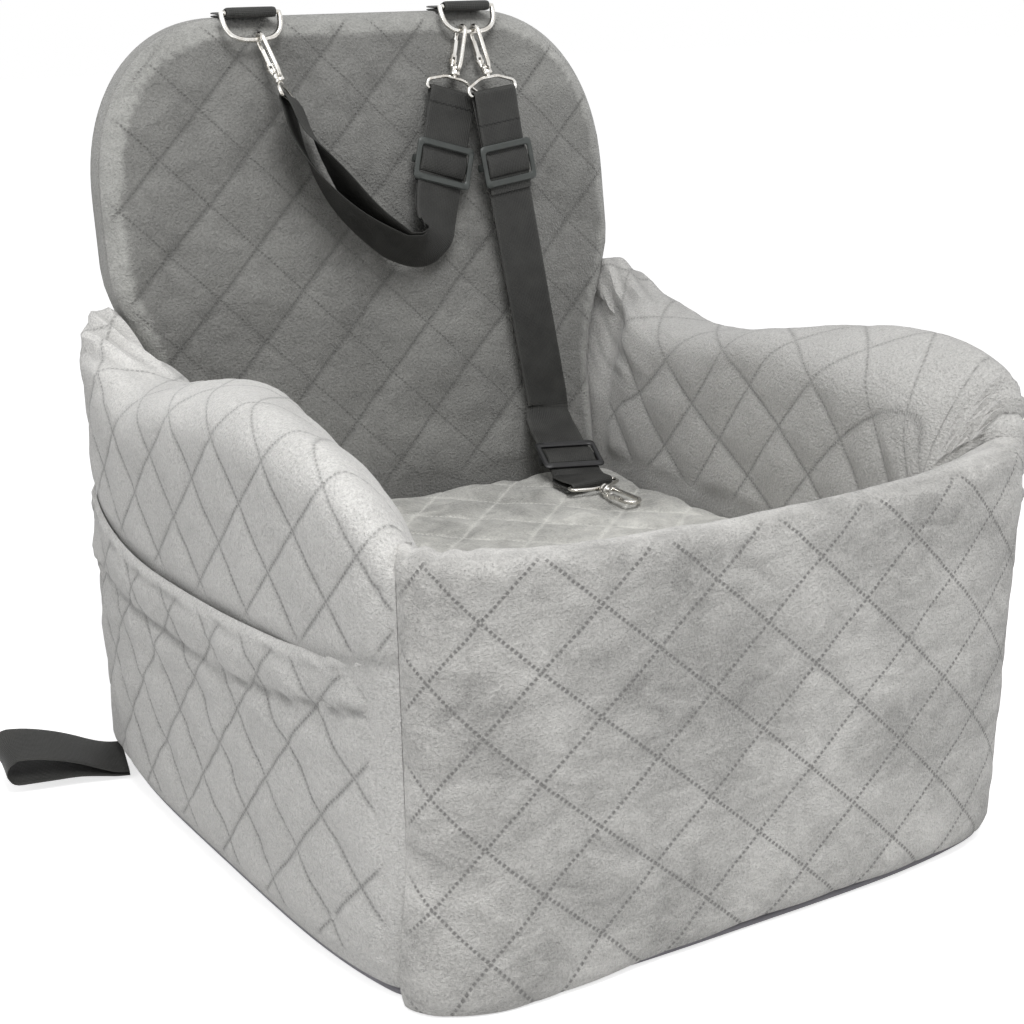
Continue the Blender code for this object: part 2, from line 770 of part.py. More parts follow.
def make_backrest():
    def place_core(u, v, level, face):
        return (u, back_face_y(v) + level, v)

    def place(u, v, level, face):
        rise = 0.0
        if face == 1:
            reach = outline_distance(shape, (u, v)) - BACK_EDGE
            shown = smooth_step((v - CUSHION_TOP + STEP) / STEP)
            rise = puff(u, v) * smooth_step(reach / STEP) * shown
            rise += QUILT_RISE * smooth_step(reach / BACK_CROWN_REACH)
        return (u, back_face_y(v) + level - rise, v)

    def bend_row(reach):
        count = 9
        row = [(reach * (2 * n / count - 1), BACK_BEND_Z) for n in range(1, count)]
        return row, [(n, n + 1) for n in range(len(row) - 1)]

    def shown(point):
        return point[1] > BACK_BEND_Z + STEP / 3

    shape = spaced(back_outline(0.0, WALL_BOTTOM, 8), BACK_RIM_SPACING)
    rim = inset_outline(shape, BACK_EDGE)
    inner, edges = lattice_points(rim, STEP / 3, shown)
    bend, bend_edges = bend_row(HALF_WIDTH - SIDE_WALL - BACK_EDGE)
    offset = len(inner)
    front = (inner + bend, edges + [(a + offset, b + offset) for a, b in bend_edges])
    bands = [(BACK_EDGE, 0.0), (BACK_EDGE * 0.3, BACK_EDGE * 0.3), (0.0, BACK_EDGE),
             (0.0, BACK_THICKNESS - BACK_EDGE),
             (BACK_EDGE * 0.3, BACK_THICKNESS - BACK_EDGE * 0.3), (BACK_EDGE, BACK_THICKNESS)]
    skin = slab("backrest_skin", shape, bands, front, (bend, bend_edges), place)
    core_bend = bend_row(HALF_WIDTH - SIDE_WALL - BACK_EDGE)
    for name, inset, bottom in (("backrest_hollow", COVER, -OVERRUN),
                                ("backrest_foam", COVER + GAP, WALL_BOTTOM + GAP)):
        core_shape = spaced(back_outline(inset, bottom, 7), BACK_CORE_SPACING)
        core_bands = [(0.0, inset), (0.0, BACK_THICKNESS - inset)]
        core = slab(name, core_shape, core_bands, core_bend, core_bend, place_core)
        if name == "backrest_foam":
            add_object("backrest_foam", core, FOAM)
        else:
            cover = finished_mesh("backrest_cover", skin, [(core, "DIFFERENCE")])
            add_object("backrest_cover", cover, VELVET_DARK)


def seat_outline(clearance, draw, corner, steps):
    """The cushion's plan: it fills the space inside the walls, less a clearance."""
    half = HALF_WIDTH - SIDE_WALL - clearance
    rear = BACK_FACE_Y - 2 * QUILT_RISE - clearance

    def front_y(x):
        share = min(abs(x) / (HALF_WIDTH - FRONT_WALL), 1.0)
        return FRONT_Y + FRONT_WALL + clearance - FRONT_INNER_BULGE * (1 - share * share)

    def rounded(x, y, across, along):
        """Points between a corner's two ends, from angle shares of a quarter turn."""
        points = []
        for share in CORNER_SHARES:
            angle = math.pi / 2 * share
            points.append((x + across * math.cos(angle), y + along * math.sin(angle)))
        return points

    outline = []
    low = front_y(half) + corner
    inner = half - corner
    for number in range(-steps, steps + 1):
        share = number / steps
        x = share * inner
        outline.append((x, front_y(x) + draw * (1 - share * share)))
    outline += reversed(rounded(inner, low, corner, front_y(inner) - low))
    for number in range(steps + 1):
        share = number / steps
        x = half - draw * 4 * share * (1 - share)
        outline.append((x, low + (rear - corner - low) * share))
    outline += rounded(inner, rear - corner, corner, corner)
    for number in range(-steps, steps + 1):
        share = -number / steps
        outline.append((share * inner, rear - draw * (1 - share * share)))
    outline += reversed(rounded(-inner, rear - corner, -corner, corner))
    for number in range(steps + 1):
        share = 1 - number / steps
        x = draw * 4 * share * (1 - share) - half
        outline.append((x, low + (rear - corner - low) * share))
    outline += rounded(-inner, low, -corner, front_y(inner) - low)
    return outline


def cushion_height(x, y):
    """Height of the cushion's top face."""
    shape = CUSHION_SHAPE
    reach = outline_distance(shape, (x, y)) - CUSHION_EDGE
    crown = CUSHION_CROWN * smooth_step(reach / (3 * SEAM_REACH))
    return CUSHION_TOP + crown + puff(x, y) * smooth_step(reach / STEP)


def make_cushion():
    """A board, a foam block and a removable quilted cushion on them."""
    def place(u, v, level, face):
        if face == 1:
            return (u, v, cushion_height(u, v))
        return (u, v, level)

    def place_core(u, v, level, face):
        return (u, v, level)

    def everywhere(point):
        return True

    rim = inset_outline(CUSHION_SHAPE, CUSHION_EDGE)
    front = lattice_points(rim, STEP / 3, everywhere, LATTICE)
    bands = [(CUSHION_EDGE, CUSHION_TOP), (CUSHION_EDGE * 0.3, CUSHION_TOP - CUSHION_EDGE * 0.35),
             (CUSHION_DRAW, CUSHION_TOP - CUSHION_EDGE), (0.0, CUSHION_BOTTOM + CUSHION_HEIGHT / 2),
             (CUSHION_DRAW, CUSHION_BOTTOM + CUSHION_EDGE), (CUSHION_EDGE, CUSHION_BOTTOM)]
    skin = slab("cushion_skin", CUSHION_SHAPE, bands, front, ([], []), place)
    core_shape = seat_outline(CUSHION_CLEARANCE, CUSHION_DRAW, CUSHION_CORNER, 4)
    zip_half = ZIP_LENGTH / 2
    zip_y = REAR_Y - BODY_DEPTH / 4
    zip_shape = [(-zip_half, zip_y), (zip_half, zip_y), (zip_half, zip_y + ZIP_WIDTH),
                 (-zip_half, zip_y + ZIP_WIDTH)]
    zip_cut = prism("zip_cut", zip_shape, CUSHION_BOTTOM - OVERRUN, CUSHION_BOTTOM + 2 * COVER)
    for name, inset in (("cushion_hollow", COVER), ("cushion_foam", COVER + GAP)):
        low = CUSHION_BOTTOM + inset
        high = CUSHION_TOP - inset
        core_bands = [(CUSHION_EDGE + inset, high), (inset + CUSHION_DRAW, high - CUSHION_EDGE),
                      (inset + CUSHION_DRAW, low + CUSHION_EDGE), (CUSHION_EDGE + inset, low)]
        core = slab(name, core_shape, core_bands, ([], []), ([], []), place_core)
        if name == "cushion_foam":
            add_object("cushion_foam", core, FOAM)
        else:
            cover = finished_mesh("cushion_cover", skin,
                                  [(core, "DIFFERENCE"), (zip_cut, "DIFFERENCE")])
            add_object("cushion_cover", cover, VELVET)
    inner = seat_outline(CUSHION_CLEARANCE, 0.0, CUSHION_CORNER, 4)
    board = prism("base_board", inner, BOARD_BOTTOM, BOARD_BOTTOM + BOARD_THICKNESS)
    add_object("base_board", board, BOARD)
    block = prism("base_foam", inner, BLOCK_BOTTOM, BLOCK_BOTTOM + BLOCK_HEIGHT)
    add_object("base_foam", block, FOAM)


def make_base():
    """The non-slip cloth underside, a little inside the walls' plan."""
    steps = 12
    side = []
    for number in range(steps + 1):
        share = number / steps
        reach = HALF_WIDTH + side_bulge(share) - BASE_INSET
        reach -= seam_draw(min(share, 1 - share) * BODY_DEPTH)
        side.append((reach, FRONT_Y + BASE_INSET + share * (BODY_DEPTH - 2 * BASE_INSET)))
    front = []
    for number in range(1, 2 * steps):
        x = (number / steps - 1) * HALF_WIDTH
        bow = front_bulge(x / HALF_WIDTH) - seam_draw(HALF_WIDTH - abs(x))
        front.append((x, FRONT_Y + BASE_INSET - bow))
    outline = front + side + [(-x, y) for x, y in reversed(side)]
    base = prism("base_cover", outline, 0.0, BASE_THICKNESS)
    add_object("base_cover", base, BASE_CLOTH)


def pocket_mouth(share):
    """Height of the pocket's hem at a share of the depth."""
    return POCKET_MOUTH_END - POCKET_MOUTH_SAG * (1 - abs(2 * share - 1) ** 2.4)


def make_pocket(side, sign):
    """A quilted panel sewn to a side at its ends and foot, open along its sagging hem."""
    columns = lattice_values(FRONT_Y, REAR_Y, SEAM_REACH, LATTICE)[1:-1]
    columns = [FRONT_Y + HEM_REACH] + columns + [REAR_Y - HEM_REACH]
    low = WALL_BOTTOM + HEM_REACH
    rows = 6
    sections = []
    heights = []
    for y in columns:
        mouth = pocket_mouth((y - FRONT_Y) / BODY_DEPTH)
        ends = min(y - columns[0], columns[-1] - y)
        outer = []
        inner = []
        level = []
        for number in range(rows + 1):
            up = number / rows
            z = low + (mouth - low) * up
            if 0 < number < rows - 1:
                z = LATTICE * number
            up = (z - low) / (mouth - low)
            gape = POCKET_GAPE * up ** 1.3 * smooth_step(ends / (BODY_DEPTH / 3))
            rise = puff(y, z) * smooth_step(min(ends, z - low, mouth - z) / STEP)
            depth = side_skin(y) - flare(z) - SEAM_GAP - gape
            inner.append(side_place(sign, y, depth, z))
            outer.append(side_place(sign, y, depth - POCKET_FABRIC - rise, z))
            level.append(rise)
        sections.append(outer + list(reversed(inner)))
        heights.append(level + [0.0] * len(level))
    add_object(side + "_pocket", loft(side + "_pocket", sections, heights), VELVET)


# Webbing

def route_through(places, per_span):
    """A smooth curve through rows of numbers, with its own end tangents."""
    rows = [Vector(place) for place in places]
    result = []
    for index in range(len(rows) - 1):
        p1, p2 = rows[index], rows[index + 1]
        p0 = rows[index - 1] if index else 2 * p1 - p2
        p3 = rows[index + 2] if index + 2 < len(rows) else 2 * p2 - p1
        for number in range(per_span):
            t = number / per_span
            result.append(0.5 * (2 * p1 + (p2 - p0) * t + (2 * p0 - 5 * p1 + 4 * p2 - p3) * t * t
                                 + (3 * p1 - p0 - 3 * p2 + p3) * t ** 3))
    result.append(rows[-1])
    return result


def frames_along(points, width_hints):
    """Tangent, width and face directions at each point of a route."""
    result = []
    for index, here in enumerate(points):
        before = points[max(index - 1, 0)]
        after = points[min(index + 1, len(points) - 1)]
        along = (after - before).normalized()
        width = width_hints[index]
        width = (width - along * width.dot(along)).normalized()
        result.append((along, width, width.cross(along).normalized()))
    return result


def ribbon(name, stations):
    """Flat webbing through (centre, width direction, face direction) stations."""
    half = WEB_WIDTH / 2
    thick = WEB_THICKNESS / 2
    sections = []
    for centre, width, face in stations:
        sections.append([centre - width * half - face * thick, centre + width * half - face * thick,
                         centre + width * half + face * thick, centre - width * half + face * thick])
    return loft(name, sections)


def turn_round(centre, width, face, onward, radius, steps):
    """Stations of webbing that passes round a bar from its +face side to its -face side."""
    result = []
    for number in range(steps + 1):
        angle = math.pi * number / steps
        out = face * math.cos(angle) + onward * math.sin(angle)
        result.append((centre + out * radius, width, out))
    return result


def route_length(points):
    return sum((after - before).length for before, after in zip(points, points[1:]))


def doubled_webbing(name, points, hints, open_by, first_lap, last_lap):
    """Webbing folded round two bars, with one unbroken layer from bar to bar.

    Its ends lap back from the first and from the last bar by the two lengths. The bars
    are the route's two ends.
    """
    frames = frames_along(points, hints)
    bar_radius = EYE_WIRE / 2 + GAP + WEB_THICKNESS / 2
    close = (WEB_THICKNESS + WEB_LAYER_GAP) / 2
    lengths = [0.0]
    for before, after in zip(points, points[1:]):
        lengths.append(lengths[-1] + (after - before).length)
    total = lengths[-1]

    def spread(at):
        near_first = smooth_step(1 - (at - EYE_WIRE) / SEWN_END)
        near_last = smooth_step(1 - (total - at - EYE_WIRE) / SEWN_END)
        bow = math.sin(math.pi * min(at / (OPENING_SHARE * total), 1.0))
        return close + (bar_radius - close) * max(near_first, near_last) + open_by * max(bow, 0.0)

    def layer(side, low, high):
        result = []
        for index, (along, width, face) in enumerate(frames):
            if low <= lengths[index] <= high:
                result.append((points[index] + face * spread(lengths[index]) * side, width,
                               face * side))
        return result

    skip = EYE_WIRE / 2
    front = layer(1, skip, total - skip)
    back = list(reversed(layer(-1, skip, first_lap)))
    tail = list(reversed(layer(-1, total - last_lap, total - skip)))
    first_frame = frames[0]
    last_frame = frames[-1]
    turn_first = turn_round(points[0], first_frame[1], -first_frame[2], -first_frame[0],
                            bar_radius, 8)
    turn_last = turn_round(points[-1], last_frame[1], last_frame[2], last_frame[0], bar_radius, 8)
    return ribbon(name, back + turn_first + front + turn_last + tail)


def axes_matrix(origin, x_axis, z_axis):
    """A frame at an origin from its Z axis and the direction nearest its X axis."""
    z_axis = z_axis.normalized()
    x_axis = (x_axis - z_axis * x_axis.dot(z_axis)).normalized()
    y_axis = z_axis.cross(x_axis)
    matrix = Matrix((x_axis, y_axis, z_axis)).transposed().to_4x4()
    matrix.translation = origin
    return matrix


# Metal

def hook_body_mesh():
    """Snap hook body: barrel, two arms, shank and bow, in its own frame, bow upward."""
    r = HOOK_HALF_WIDTH
    low = BARREL_HEIGHT / 2
    path = [(-r, ARM_HEIGHT), (-r, ARM_HEIGHT * 0.72), (-r * 0.86, BARREL_HEIGHT * 0.82),
            (-r * 0.5, low), (r * 0.5, low), (r * 0.86, BARREL_HEIGHT * 0.82),
            (r, ARM_HEIGHT * 0.72), (r, HOOK_SHANK)]
    for number in range(1, 9):
        angle = math.pi * number / 8
        path.append((r * math.cos(angle), HOOK_SHANK + r * math.sin(angle)))
    path.append((-r, ARM_HEIGHT + GATE_LENGTH + GAP))
    wire = tube_mesh("hook_wire", path, HOOK_WIRE / 2, 6)
    barrel = turned("barrel", [(BARREL_RADIUS, 0.0), (BARREL_RADIUS, BARREL_HEIGHT)], 14)
    lug = turned("lug", [(LUG_RADIUS, -LUG_THICKNESS / 2), (LUG_RADIUS, LUG_THICKNESS / 2)], 12, "Y")
    lug.transform(Matrix.Translation((-r, 0, ARM_HEIGHT)))
    notch_low = ARM_HEIGHT - LUG_RADIUS - 2 * GAP
    notch_half = HOOK_WIRE
    keep = LUG_THICKNESS / 2
    cheek_cuts = []
    for side in (-1, 1):
        near, far = sorted((side * keep, side * 3 * keep))
        shape = [(-r - notch_half, notch_low), (-r + notch_half, notch_low),
                 (-r + notch_half, ARM_HEIGHT + LUG_RADIUS), (-r - notch_half, ARM_HEIGHT + LUG_RADIUS)]
        cheek_cuts.append(prism("cheek_cut", shape, near, far, "Y"))
    bore = turned("bore", [(POST_RADIUS + GAP, -OVERRUN), (POST_RADIUS + GAP, OVERRUN)], 12)
    hole_radius = PIN_RADIUS + GAP
    pin_hole = turned("pin_hole", [(hole_radius, -OVERRUN), (hole_radius, OVERRUN)], 10, "Y")
    pin_hole.transform(Matrix.Translation((-r, 0, ARM_HEIGHT)))
    steps = [(barrel, "UNION"), (cheek_cuts[0], "DIFFERENCE"), (cheek_cuts[1], "DIFFERENCE"),
             (lug, "UNION"), (bore, "DIFFERENCE"), (pin_hole, "DIFFERENCE")]
    return finished_mesh("hook_body", wire, steps)


def hook_gate_mesh():
    """The sprung gate: a fork that straddles the lug, in a frame at its pin."""
    inner = LUG_THICKNESS / 2 + GAP
    outer = inner + GATE_CHEEK
    foot = -LUG_RADIUS
    crotch = LUG_RADIUS + GAP
    top = GATE_LENGTH - GAP
    neck = crotch + GATE_CHEEK
    tip = GATE_THICKNESS / 2
    outline = [(-outer, foot), (-inner, foot), (-inner, crotch), (inner, crotch), (inner, foot),
               (outer, foot), (outer, neck), (tip, neck + GATE_CHEEK), (tip, top), (-tip, top),
               (-tip, neck + GATE_CHEEK), (-outer, neck)]
    half = GATE_THICKNESS / 2
    fork = prism("fork", outline, -half, half, "X")
    thumb_low = neck
    thumb = prism("thumb", [(-half - THUMB_REACH, thumb_low + THUMB_HEIGHT * 0.4),
                            (0.0, thumb_low), (0.0, thumb_low + THUMB_HEIGHT),
                            (-half - THUMB_REACH, thumb_low + THUMB_HEIGHT * 0.75)],
                  -tip, tip, "Y")
    hole_radius = PIN_RADIUS + GAP
    hole = turned("gate_hole", [(hole_radius, -OVERRUN), (hole_radius, OVERRUN)], 10, "Y")
    return finished_mesh("hook_gate", fork, [(thumb, "UNION"), (hole, "DIFFERENCE")])


def hook_pin_mesh():
    """The gate's rivet."""
    half = LUG_THICKNESS / 2 + GAP + GATE_CHEEK + GAP
    head = half + PIN_RADIUS / 2
    wide = PIN_RADIUS * 1.8
    profile = [(wide, -head), (wide, -half), (PIN_RADIUS, -half), (PIN_RADIUS, half),
               (wide, half), (wide, head)]
    return turned("hook_pin", profile, 10, "Y")


def swivel_eye_mesh():
    """A wire eye for flat webbing with a headed post that turns in the barrel."""
    bar_half = WEB_WIDTH / 2 + EYE_WIRE / 2 + RING_SIDE_PLAY
    shoulder = EYE_SHOULDER - EYE_DROP
    corners = [(-EYE_TOP_HALF, -EYE_NECK), (-bar_half, shoulder), (-bar_half, -EYE_DROP),
               (bar_half, -EYE_DROP), (bar_half, shoulder), (EYE_TOP_HALF, -EYE_NECK)]
    loop = tube_mesh("eye_loop", rounded_path(corners, EYE_WIRE / 2, 2), EYE_WIRE / 2, 6, True)
    head_low = BARREL_HEIGHT + GAP
    profile = [(POST_RADIUS, -EYE_NECK), (POST_RADIUS, head_low), (HEAD_RADIUS, head_low),
               (HEAD_RADIUS * 0.8, head_low + HEAD_HEIGHT)]
    post = turned("post", profile, 12)
    return finished_mesh("swivel_eye", loop, [(post, "UNION")])


def ring_wire_point(offset):
    """The D-ring's wire below its bar, at an offset along the bar."""
    half = WEB_WIDTH / 2 + RING_WIRE / 2 + RING_SIDE_PLAY
    return -RING_DEPTH * (1 - abs(offset / half) ** RING_FULLNESS) ** (1 / RING_FULLNESS)


def d_ring_mesh():
    """A D-ring whose straight bar is on its own X axis."""
    half = WEB_WIDTH / 2 + RING_WIRE / 2 + RING_SIDE_PLAY
    path = [(-half + RING_WIRE / 2, 0.0), (0.0, 0.0), (half - RING_WIRE / 2, 0.0)]
    for number in range(1, 16):
        angle = math.pi * number / 16
        across = abs(math.cos(angle)) ** (2 / RING_FULLNESS)
        down = math.sin(angle) ** (2 / RING_FULLNESS)
        path.append((math.copysign(half * across, math.cos(angle)), -RING_DEPTH * down))
    return tube_mesh("d_ring", path, RING_WIRE / 2, 8, True)


def bar_place(sign):
    """Where a D-ring's bar lies: just over the backrest's top front edge."""
    y = back_face_y(BACK_TOP) - RING_FORWARD
    z = BACK_TOP + GAP + WEB_THICKNESS + GAP + RING_WIRE / 2
    return Vector((sign * RING_X, y, z))


def ring_tab(name, sign):
    """Webbing sewn to the backrest's top and folded round the ring's bar."""
    bar = bar_place(sign)
    radius = RING_WIRE / 2 + GAP + WEB_THICKNESS / 2
    flat = BACK_TOP + GAP + WEB_THICKNESS / 2
    across = Vector((1, 0, 0))
    tail_y = back_face_y(BACK_TOP) + BACK_EDGE + TAB_TAIL
    layer = WEB_THICKNESS + WEB_LAYER_GAP
    stations = [(Vector((bar.x, tail_y, flat + layer)), across, Vector((0, 0, 1))),
                (Vector((bar.x, bar.y + 4 * radius, flat + layer)), across, Vector((0, 0, 1)))]
    for number in range(11):
        angle = math.pi * (0.5 - number / 10)
        out = Vector((0, -math.cos(angle), math.sin(angle)))
        stations.append((bar + out * radius, across, out))
    stations.append((Vector((bar.x, bar.y + 4 * radius, flat)), across, Vector((0, 0, -1))))
    stations.append((Vector((bar.x, tail_y, flat)), across, Vector((0, 0, -1))))
    add_object(name, ribbon(name, stations), WEBBING)


def slider_mesh():
    """A three-bar slider: its window frame lies on the webbing, its middle bar behind it.

    Local X is across the webbing, local Z along it, and -Y is the side that shows.
    """
    half = WEB_WIDTH / 2 + RING_SIDE_PLAY
    inner = [(-half, SLIDER_BAR - SLIDER_HEIGHT / 2), (half, SLIDER_BAR - SLIDER_HEIGHT / 2),
             (half, SLIDER_HEIGHT / 2 - SLIDER_BAR), (-half, SLIDER_HEIGHT / 2 - SLIDER_BAR)]
    rail = half + SLIDER_RAIL
    outer = [(-rail, -SLIDER_HEIGHT / 2), (rail, -SLIDER_HEIGHT / 2), (rail, SLIDER_HEIGHT / 2),
             (-rail, SLIDER_HEIGHT / 2)]
    far = WEB_LAYER_GAP / 2 + WEB_THICKNESS + GAP
    near = -far
    frame = ring_prism("slider_frame", rounded_path(outer, SLIDER_CORNER, 3),
                       rounded_path(inner, SLIDER_CORNER / 3, 3), near - SLIDER_THICKNESS, near)
    staple_out = [(-rail, near - SLIDER_THICKNESS / 2), (rail, near - SLIDER_THICKNESS / 2),
                  (rail, far + SLIDER_THICKNESS), (-rail, far + SLIDER_THICKNESS)]
    staple_in = [(-half, near - SLIDER_THICKNESS / 2), (half, near - SLIDER_THICKNESS / 2),
                 (half, far), (-half, far)]
    points = [(x, y) for x, y in staple_out]
    outline = [points[0], points[3], points[2], points[1], staple_in[1], staple_in[2], staple_in[3],
               staple_in[0]]
    staple = prism("slider_staple", outline, -SLIDER_BAR / 2, SLIDER_BAR / 2, "Z")
    return finished_mesh("slider", frame, [(staple, "UNION")])


class Hook:
    """Where one snap hook lies: its own frame, its gate's frame and its eye's frame."""

    def __init__(self, name, bow_point, up, gate_side, bar_direction):
        self.name = name
        rest = HOOK_SHANK + HOOK_HALF_WIDTH - HOOK_WIRE / 2 - RING_WIRE / 2 - HOOK_PLAY
        up = up.normalized()
        self.origin = bow_point - up * rest
        self.up = up
        self.body = axes_matrix(self.origin, gate_side, up)
        self.eye = axes_matrix(self.origin, bar_direction, up)
        self.gate = self.body @ Matrix.Translation((-HOOK_HALF_WIDTH, 0, ARM_HEIGHT))
        self.bar = self.origin - up * EYE_DROP
        self.bar_direction = self.eye.to_3x3() @ Vector((1, 0, 0))


def make_hooks(hooks):
    body = hook_body_mesh()
    gate = hook_gate_mesh()
    pin = hook_pin_mesh()
    eye = swivel_eye_mesh()
    for hook in hooks:
        add_object(hook.name + "_body", body, NICKEL, hook.body)
        add_object(hook.name + "_gate", gate, NICKEL, hook.gate)
        add_object(hook.name + "_pin", pin, NICKEL, hook.gate)
        add_object(hook.name + "_eye", eye, NICKEL, hook.eye)


def ring_point(sign, offset):
    """A point on the hanging ring's wire, at an offset from the ring's middle."""
    drop = ring_wire_point(offset)
    local = Vector((offset, 0, drop))
    turned_down = Matrix.Rotation(-RING_TILT, 3, "X") @ local
    return bar_place(sign) + turned_down


def before_back(x, z, standoff):
    """A place in front of the backrest."""
    return Vector((x, back_face_y(z) - 2 * QUILT_RISE - standoff, z))


def straight_run(start, down, length, parts):
    """Even places along a straight run of webbing."""
    return [start + down * (length * number / parts) for number in range(parts + 1)]


def make_headrest_strap(left, right):
    """The strap between the two rings."""
    run = straight_run(right.bar, -right.up, HEADREST_RUN, 4)
    places = [(*place, 1.0) for place in straight_run(left.bar, -left.up, EYE_DROP, 2)]
    span = right.bar.x - left.bar.x
    level = max(left.bar.z, right.bar.z)
    for along, drop, standoff, twist in HEADREST_ROUTE_SHARES:
        place = before_back(left.bar.x + span * along, level - HEADREST_DROP * drop,
                            HEADREST_STANDOFF * standoff)
        places.append((*place, twist))
    places += [(*place, 0.0) for place in reversed(run)]
    smooth = route_through(places, 3)
    points = [Vector(row[:3]) for row in smooth]
    flat = right.bar_direction
    deep = left.bar_direction
    hints = []
    for row in smooth:
        angle = math.pi / 2 * min(max(row[3], 0.0), 1.0)
        hints.append(flat * math.cos(angle) + deep * math.sin(angle))
    first_lap = route_length(points) - HEADREST_SLIDER_DROP + SLIDER_HEIGHT / 2 + WEB_END
    mesh = doubled_webbing("headrest_strap", points, hints, HEADREST_OPENING, first_lap, SEWN_END)
    add_object("headrest_strap", mesh, WEBBING)
    place = axes_matrix(right.bar - right.up * HEADREST_SLIDER_DROP, flat, right.up)
    add_object("headrest_slider", slider_mesh(), PLASTIC, place)


def make_lead(top, dog):
    """The lead from the right ring to its free hook on the cushion."""
    down = -Vector(LEAD_RUN_UP).normalized()
    places = straight_run(top.bar, down, LEAD_RUN, 8)
    start = places[-1]
    rows = len(places)
    drop = start.z - dog.bar.z
    reach = start.y - dog.bar.y
    sidestep = dog.bar.x - start.x
    for side, fall, forward in LEAD_ROUTE_SHARES:
        places.append(start + Vector((sidestep * side, -reach * forward, -drop * fall)))
    turn_end = len(places)
    places += reversed(straight_run(dog.bar, -dog.up, EYE_DROP, 2))
    per_span = 4
    points = route_through(places, per_span)
    last = len(points) - 1
    turn_start = rows + LEAD_STRAIGHT_ROWS[1]
    hints = []
    for index in range(last + 1):
        turn = smooth_step((index / per_span - turn_start) / (turn_end - turn_start))
        hints.append(top.bar_direction.lerp(dog.bar_direction, turn))
    upper_lap = LEAD_SLIDER_DROP + SLIDER_HEIGHT / 2 + WEB_END
    high, low = (places[rows + row] for row in LEAD_STRAIGHT_ROWS)
    middle = low.lerp(high, LEAD_SLIDER_SHARE)
    nearest = min(range(last + 1), key=lambda index: (points[index] - middle).length)
    lower_lap = route_length(points[nearest:]) + SLIDER_HEIGHT / 2 + WEB_END
    mesh = doubled_webbing("lead_strap", points, hints, 0.0, upper_lap, lower_lap)
    add_object("lead_strap", mesh, WEBBING)
    slider = slider_mesh()
    place = axes_matrix(top.bar + down * LEAD_SLIDER_DROP, top.bar_direction, -down)
    add_object("lead_upper_slider", slider, PLASTIC, place)
    place = axes_matrix(middle, hints[nearest], high - low)
    add_object("lead_lower_slider", slider, PLASTIC, place)


def make_tether():
    """A flat loop of webbing that lies beside the rear left corner."""
    root_x = -(HALF_WIDTH + side_bulge((TETHER_Y - FRONT_Y) / BODY_DEPTH) + SEAM_GAP)
    width = Vector((0, math.cos(TETHER_TILT), math.sin(TETHER_TILT)))
    lean = WEB_WIDTH / 2 * math.sin(TETHER_TILT)
    low = TETHER_FLOOR + lean + WEB_THICKNESS
    half = TETHER_HEIGHT / 2
    layer = WEB_THICKNESS + WEB_LAYER_GAP
    stations = []
    count = 9
    reach = TETHER_LENGTH - half

    def place(out, z):
        rise = TETHER_LIFT * smooth_step(2 * out / TETHER_LENGTH)
        return Vector((root_x - out, TETHER_Y + TETHER_SWEEP * out / TETHER_LENGTH, low + z + rise))

    for number in range(count):
        out = reach * number / count
        stations.append((place(out, layer + (TETHER_HEIGHT - layer) * smooth_step(out / reach)),
                         Vector((0, 0, 1))))
    for number in range(9):
        angle = math.pi * (0.5 - number / 8)
        stations.append((place(reach + half * math.cos(angle), half + half * math.sin(angle)),
                         Vector((-math.cos(angle), 0, math.sin(angle)))))
    for number in range(count):
        out = reach * (1 - (number + 1) / count)
        stations.append((place(out, 0.0), Vector((0, 0, -1))))
    rows = []
    for index, (centre, face) in enumerate(stations):
        before = stations[max(index - 1, 0)][0]
        after = stations[min(index + 1, len(stations) - 1)][0]
        along = (after - before).normalized()
        across = (width - along * width.dot(along)).normalized()
        normal = along.cross(across).normalized()
        if normal.dot(face) < 0:
            normal = -normal
        rows.append((centre, across, normal))
    add_object("tether_loop", ribbon("tether_loop", rows), WEBBING)


def hook_reach():
    """From a hook's bar to the middle of the wire that its bow hangs on."""
    return EYE_DROP + HOOK_SHANK + HOOK_HALF_WIDTH - HOOK_WIRE / 2 - RING_WIRE / 2 - HOOK_PLAY


def resting_height(x, y, radius):
    """Height of a round wire's middle where it lies on the cushion."""
    around = [(0.0, 0.0), (radius, 0.0), (-radius, 0.0), (0.0, radius), (0.0, -radius)]
    top = max(cushion_height(x + side, y + along) for side, along in around)
    return top + radius + HOOK_REST_GAP


def dog_hook(top):
    """The lead's free hook, lying on the cushion."""
    down = -Vector(LEAD_RUN_UP).normalized()
    start = top.bar + down * LEAD_RUN
    bar = Vector((start.x - LEAD_SIDESTEP, start.y - LEAD_REACH, 0.0))
    flat_up = Vector(DOG_HOOK_UP).normalized()
    tip = bar + flat_up * hook_reach()
    barrel = bar + flat_up * (EYE_DROP + BARREL_HEIGHT / 2)
    fold = EYE_WIRE / 2 + GAP + WEB_THICKNESS
    tip.z = resting_height(tip.x, tip.y, HOOK_WIRE / 2)
    bar.z = resting_height(bar.x, bar.y, fold)
    share = (barrel - bar).xy.length / (tip - bar).xy.length
    held = bar.z + (tip.z - bar.z) * share
    lift = max(0.0, resting_height(barrel.x, barrel.y, BARREL_RADIUS) - held)
    up = (tip - bar).normalized()
    bow = bar + Vector((0, 0, lift)) + up * hook_reach()
    across = Vector((1, 0, 0))
    return Hook("lead_dog_hook", bow, up, across, across)


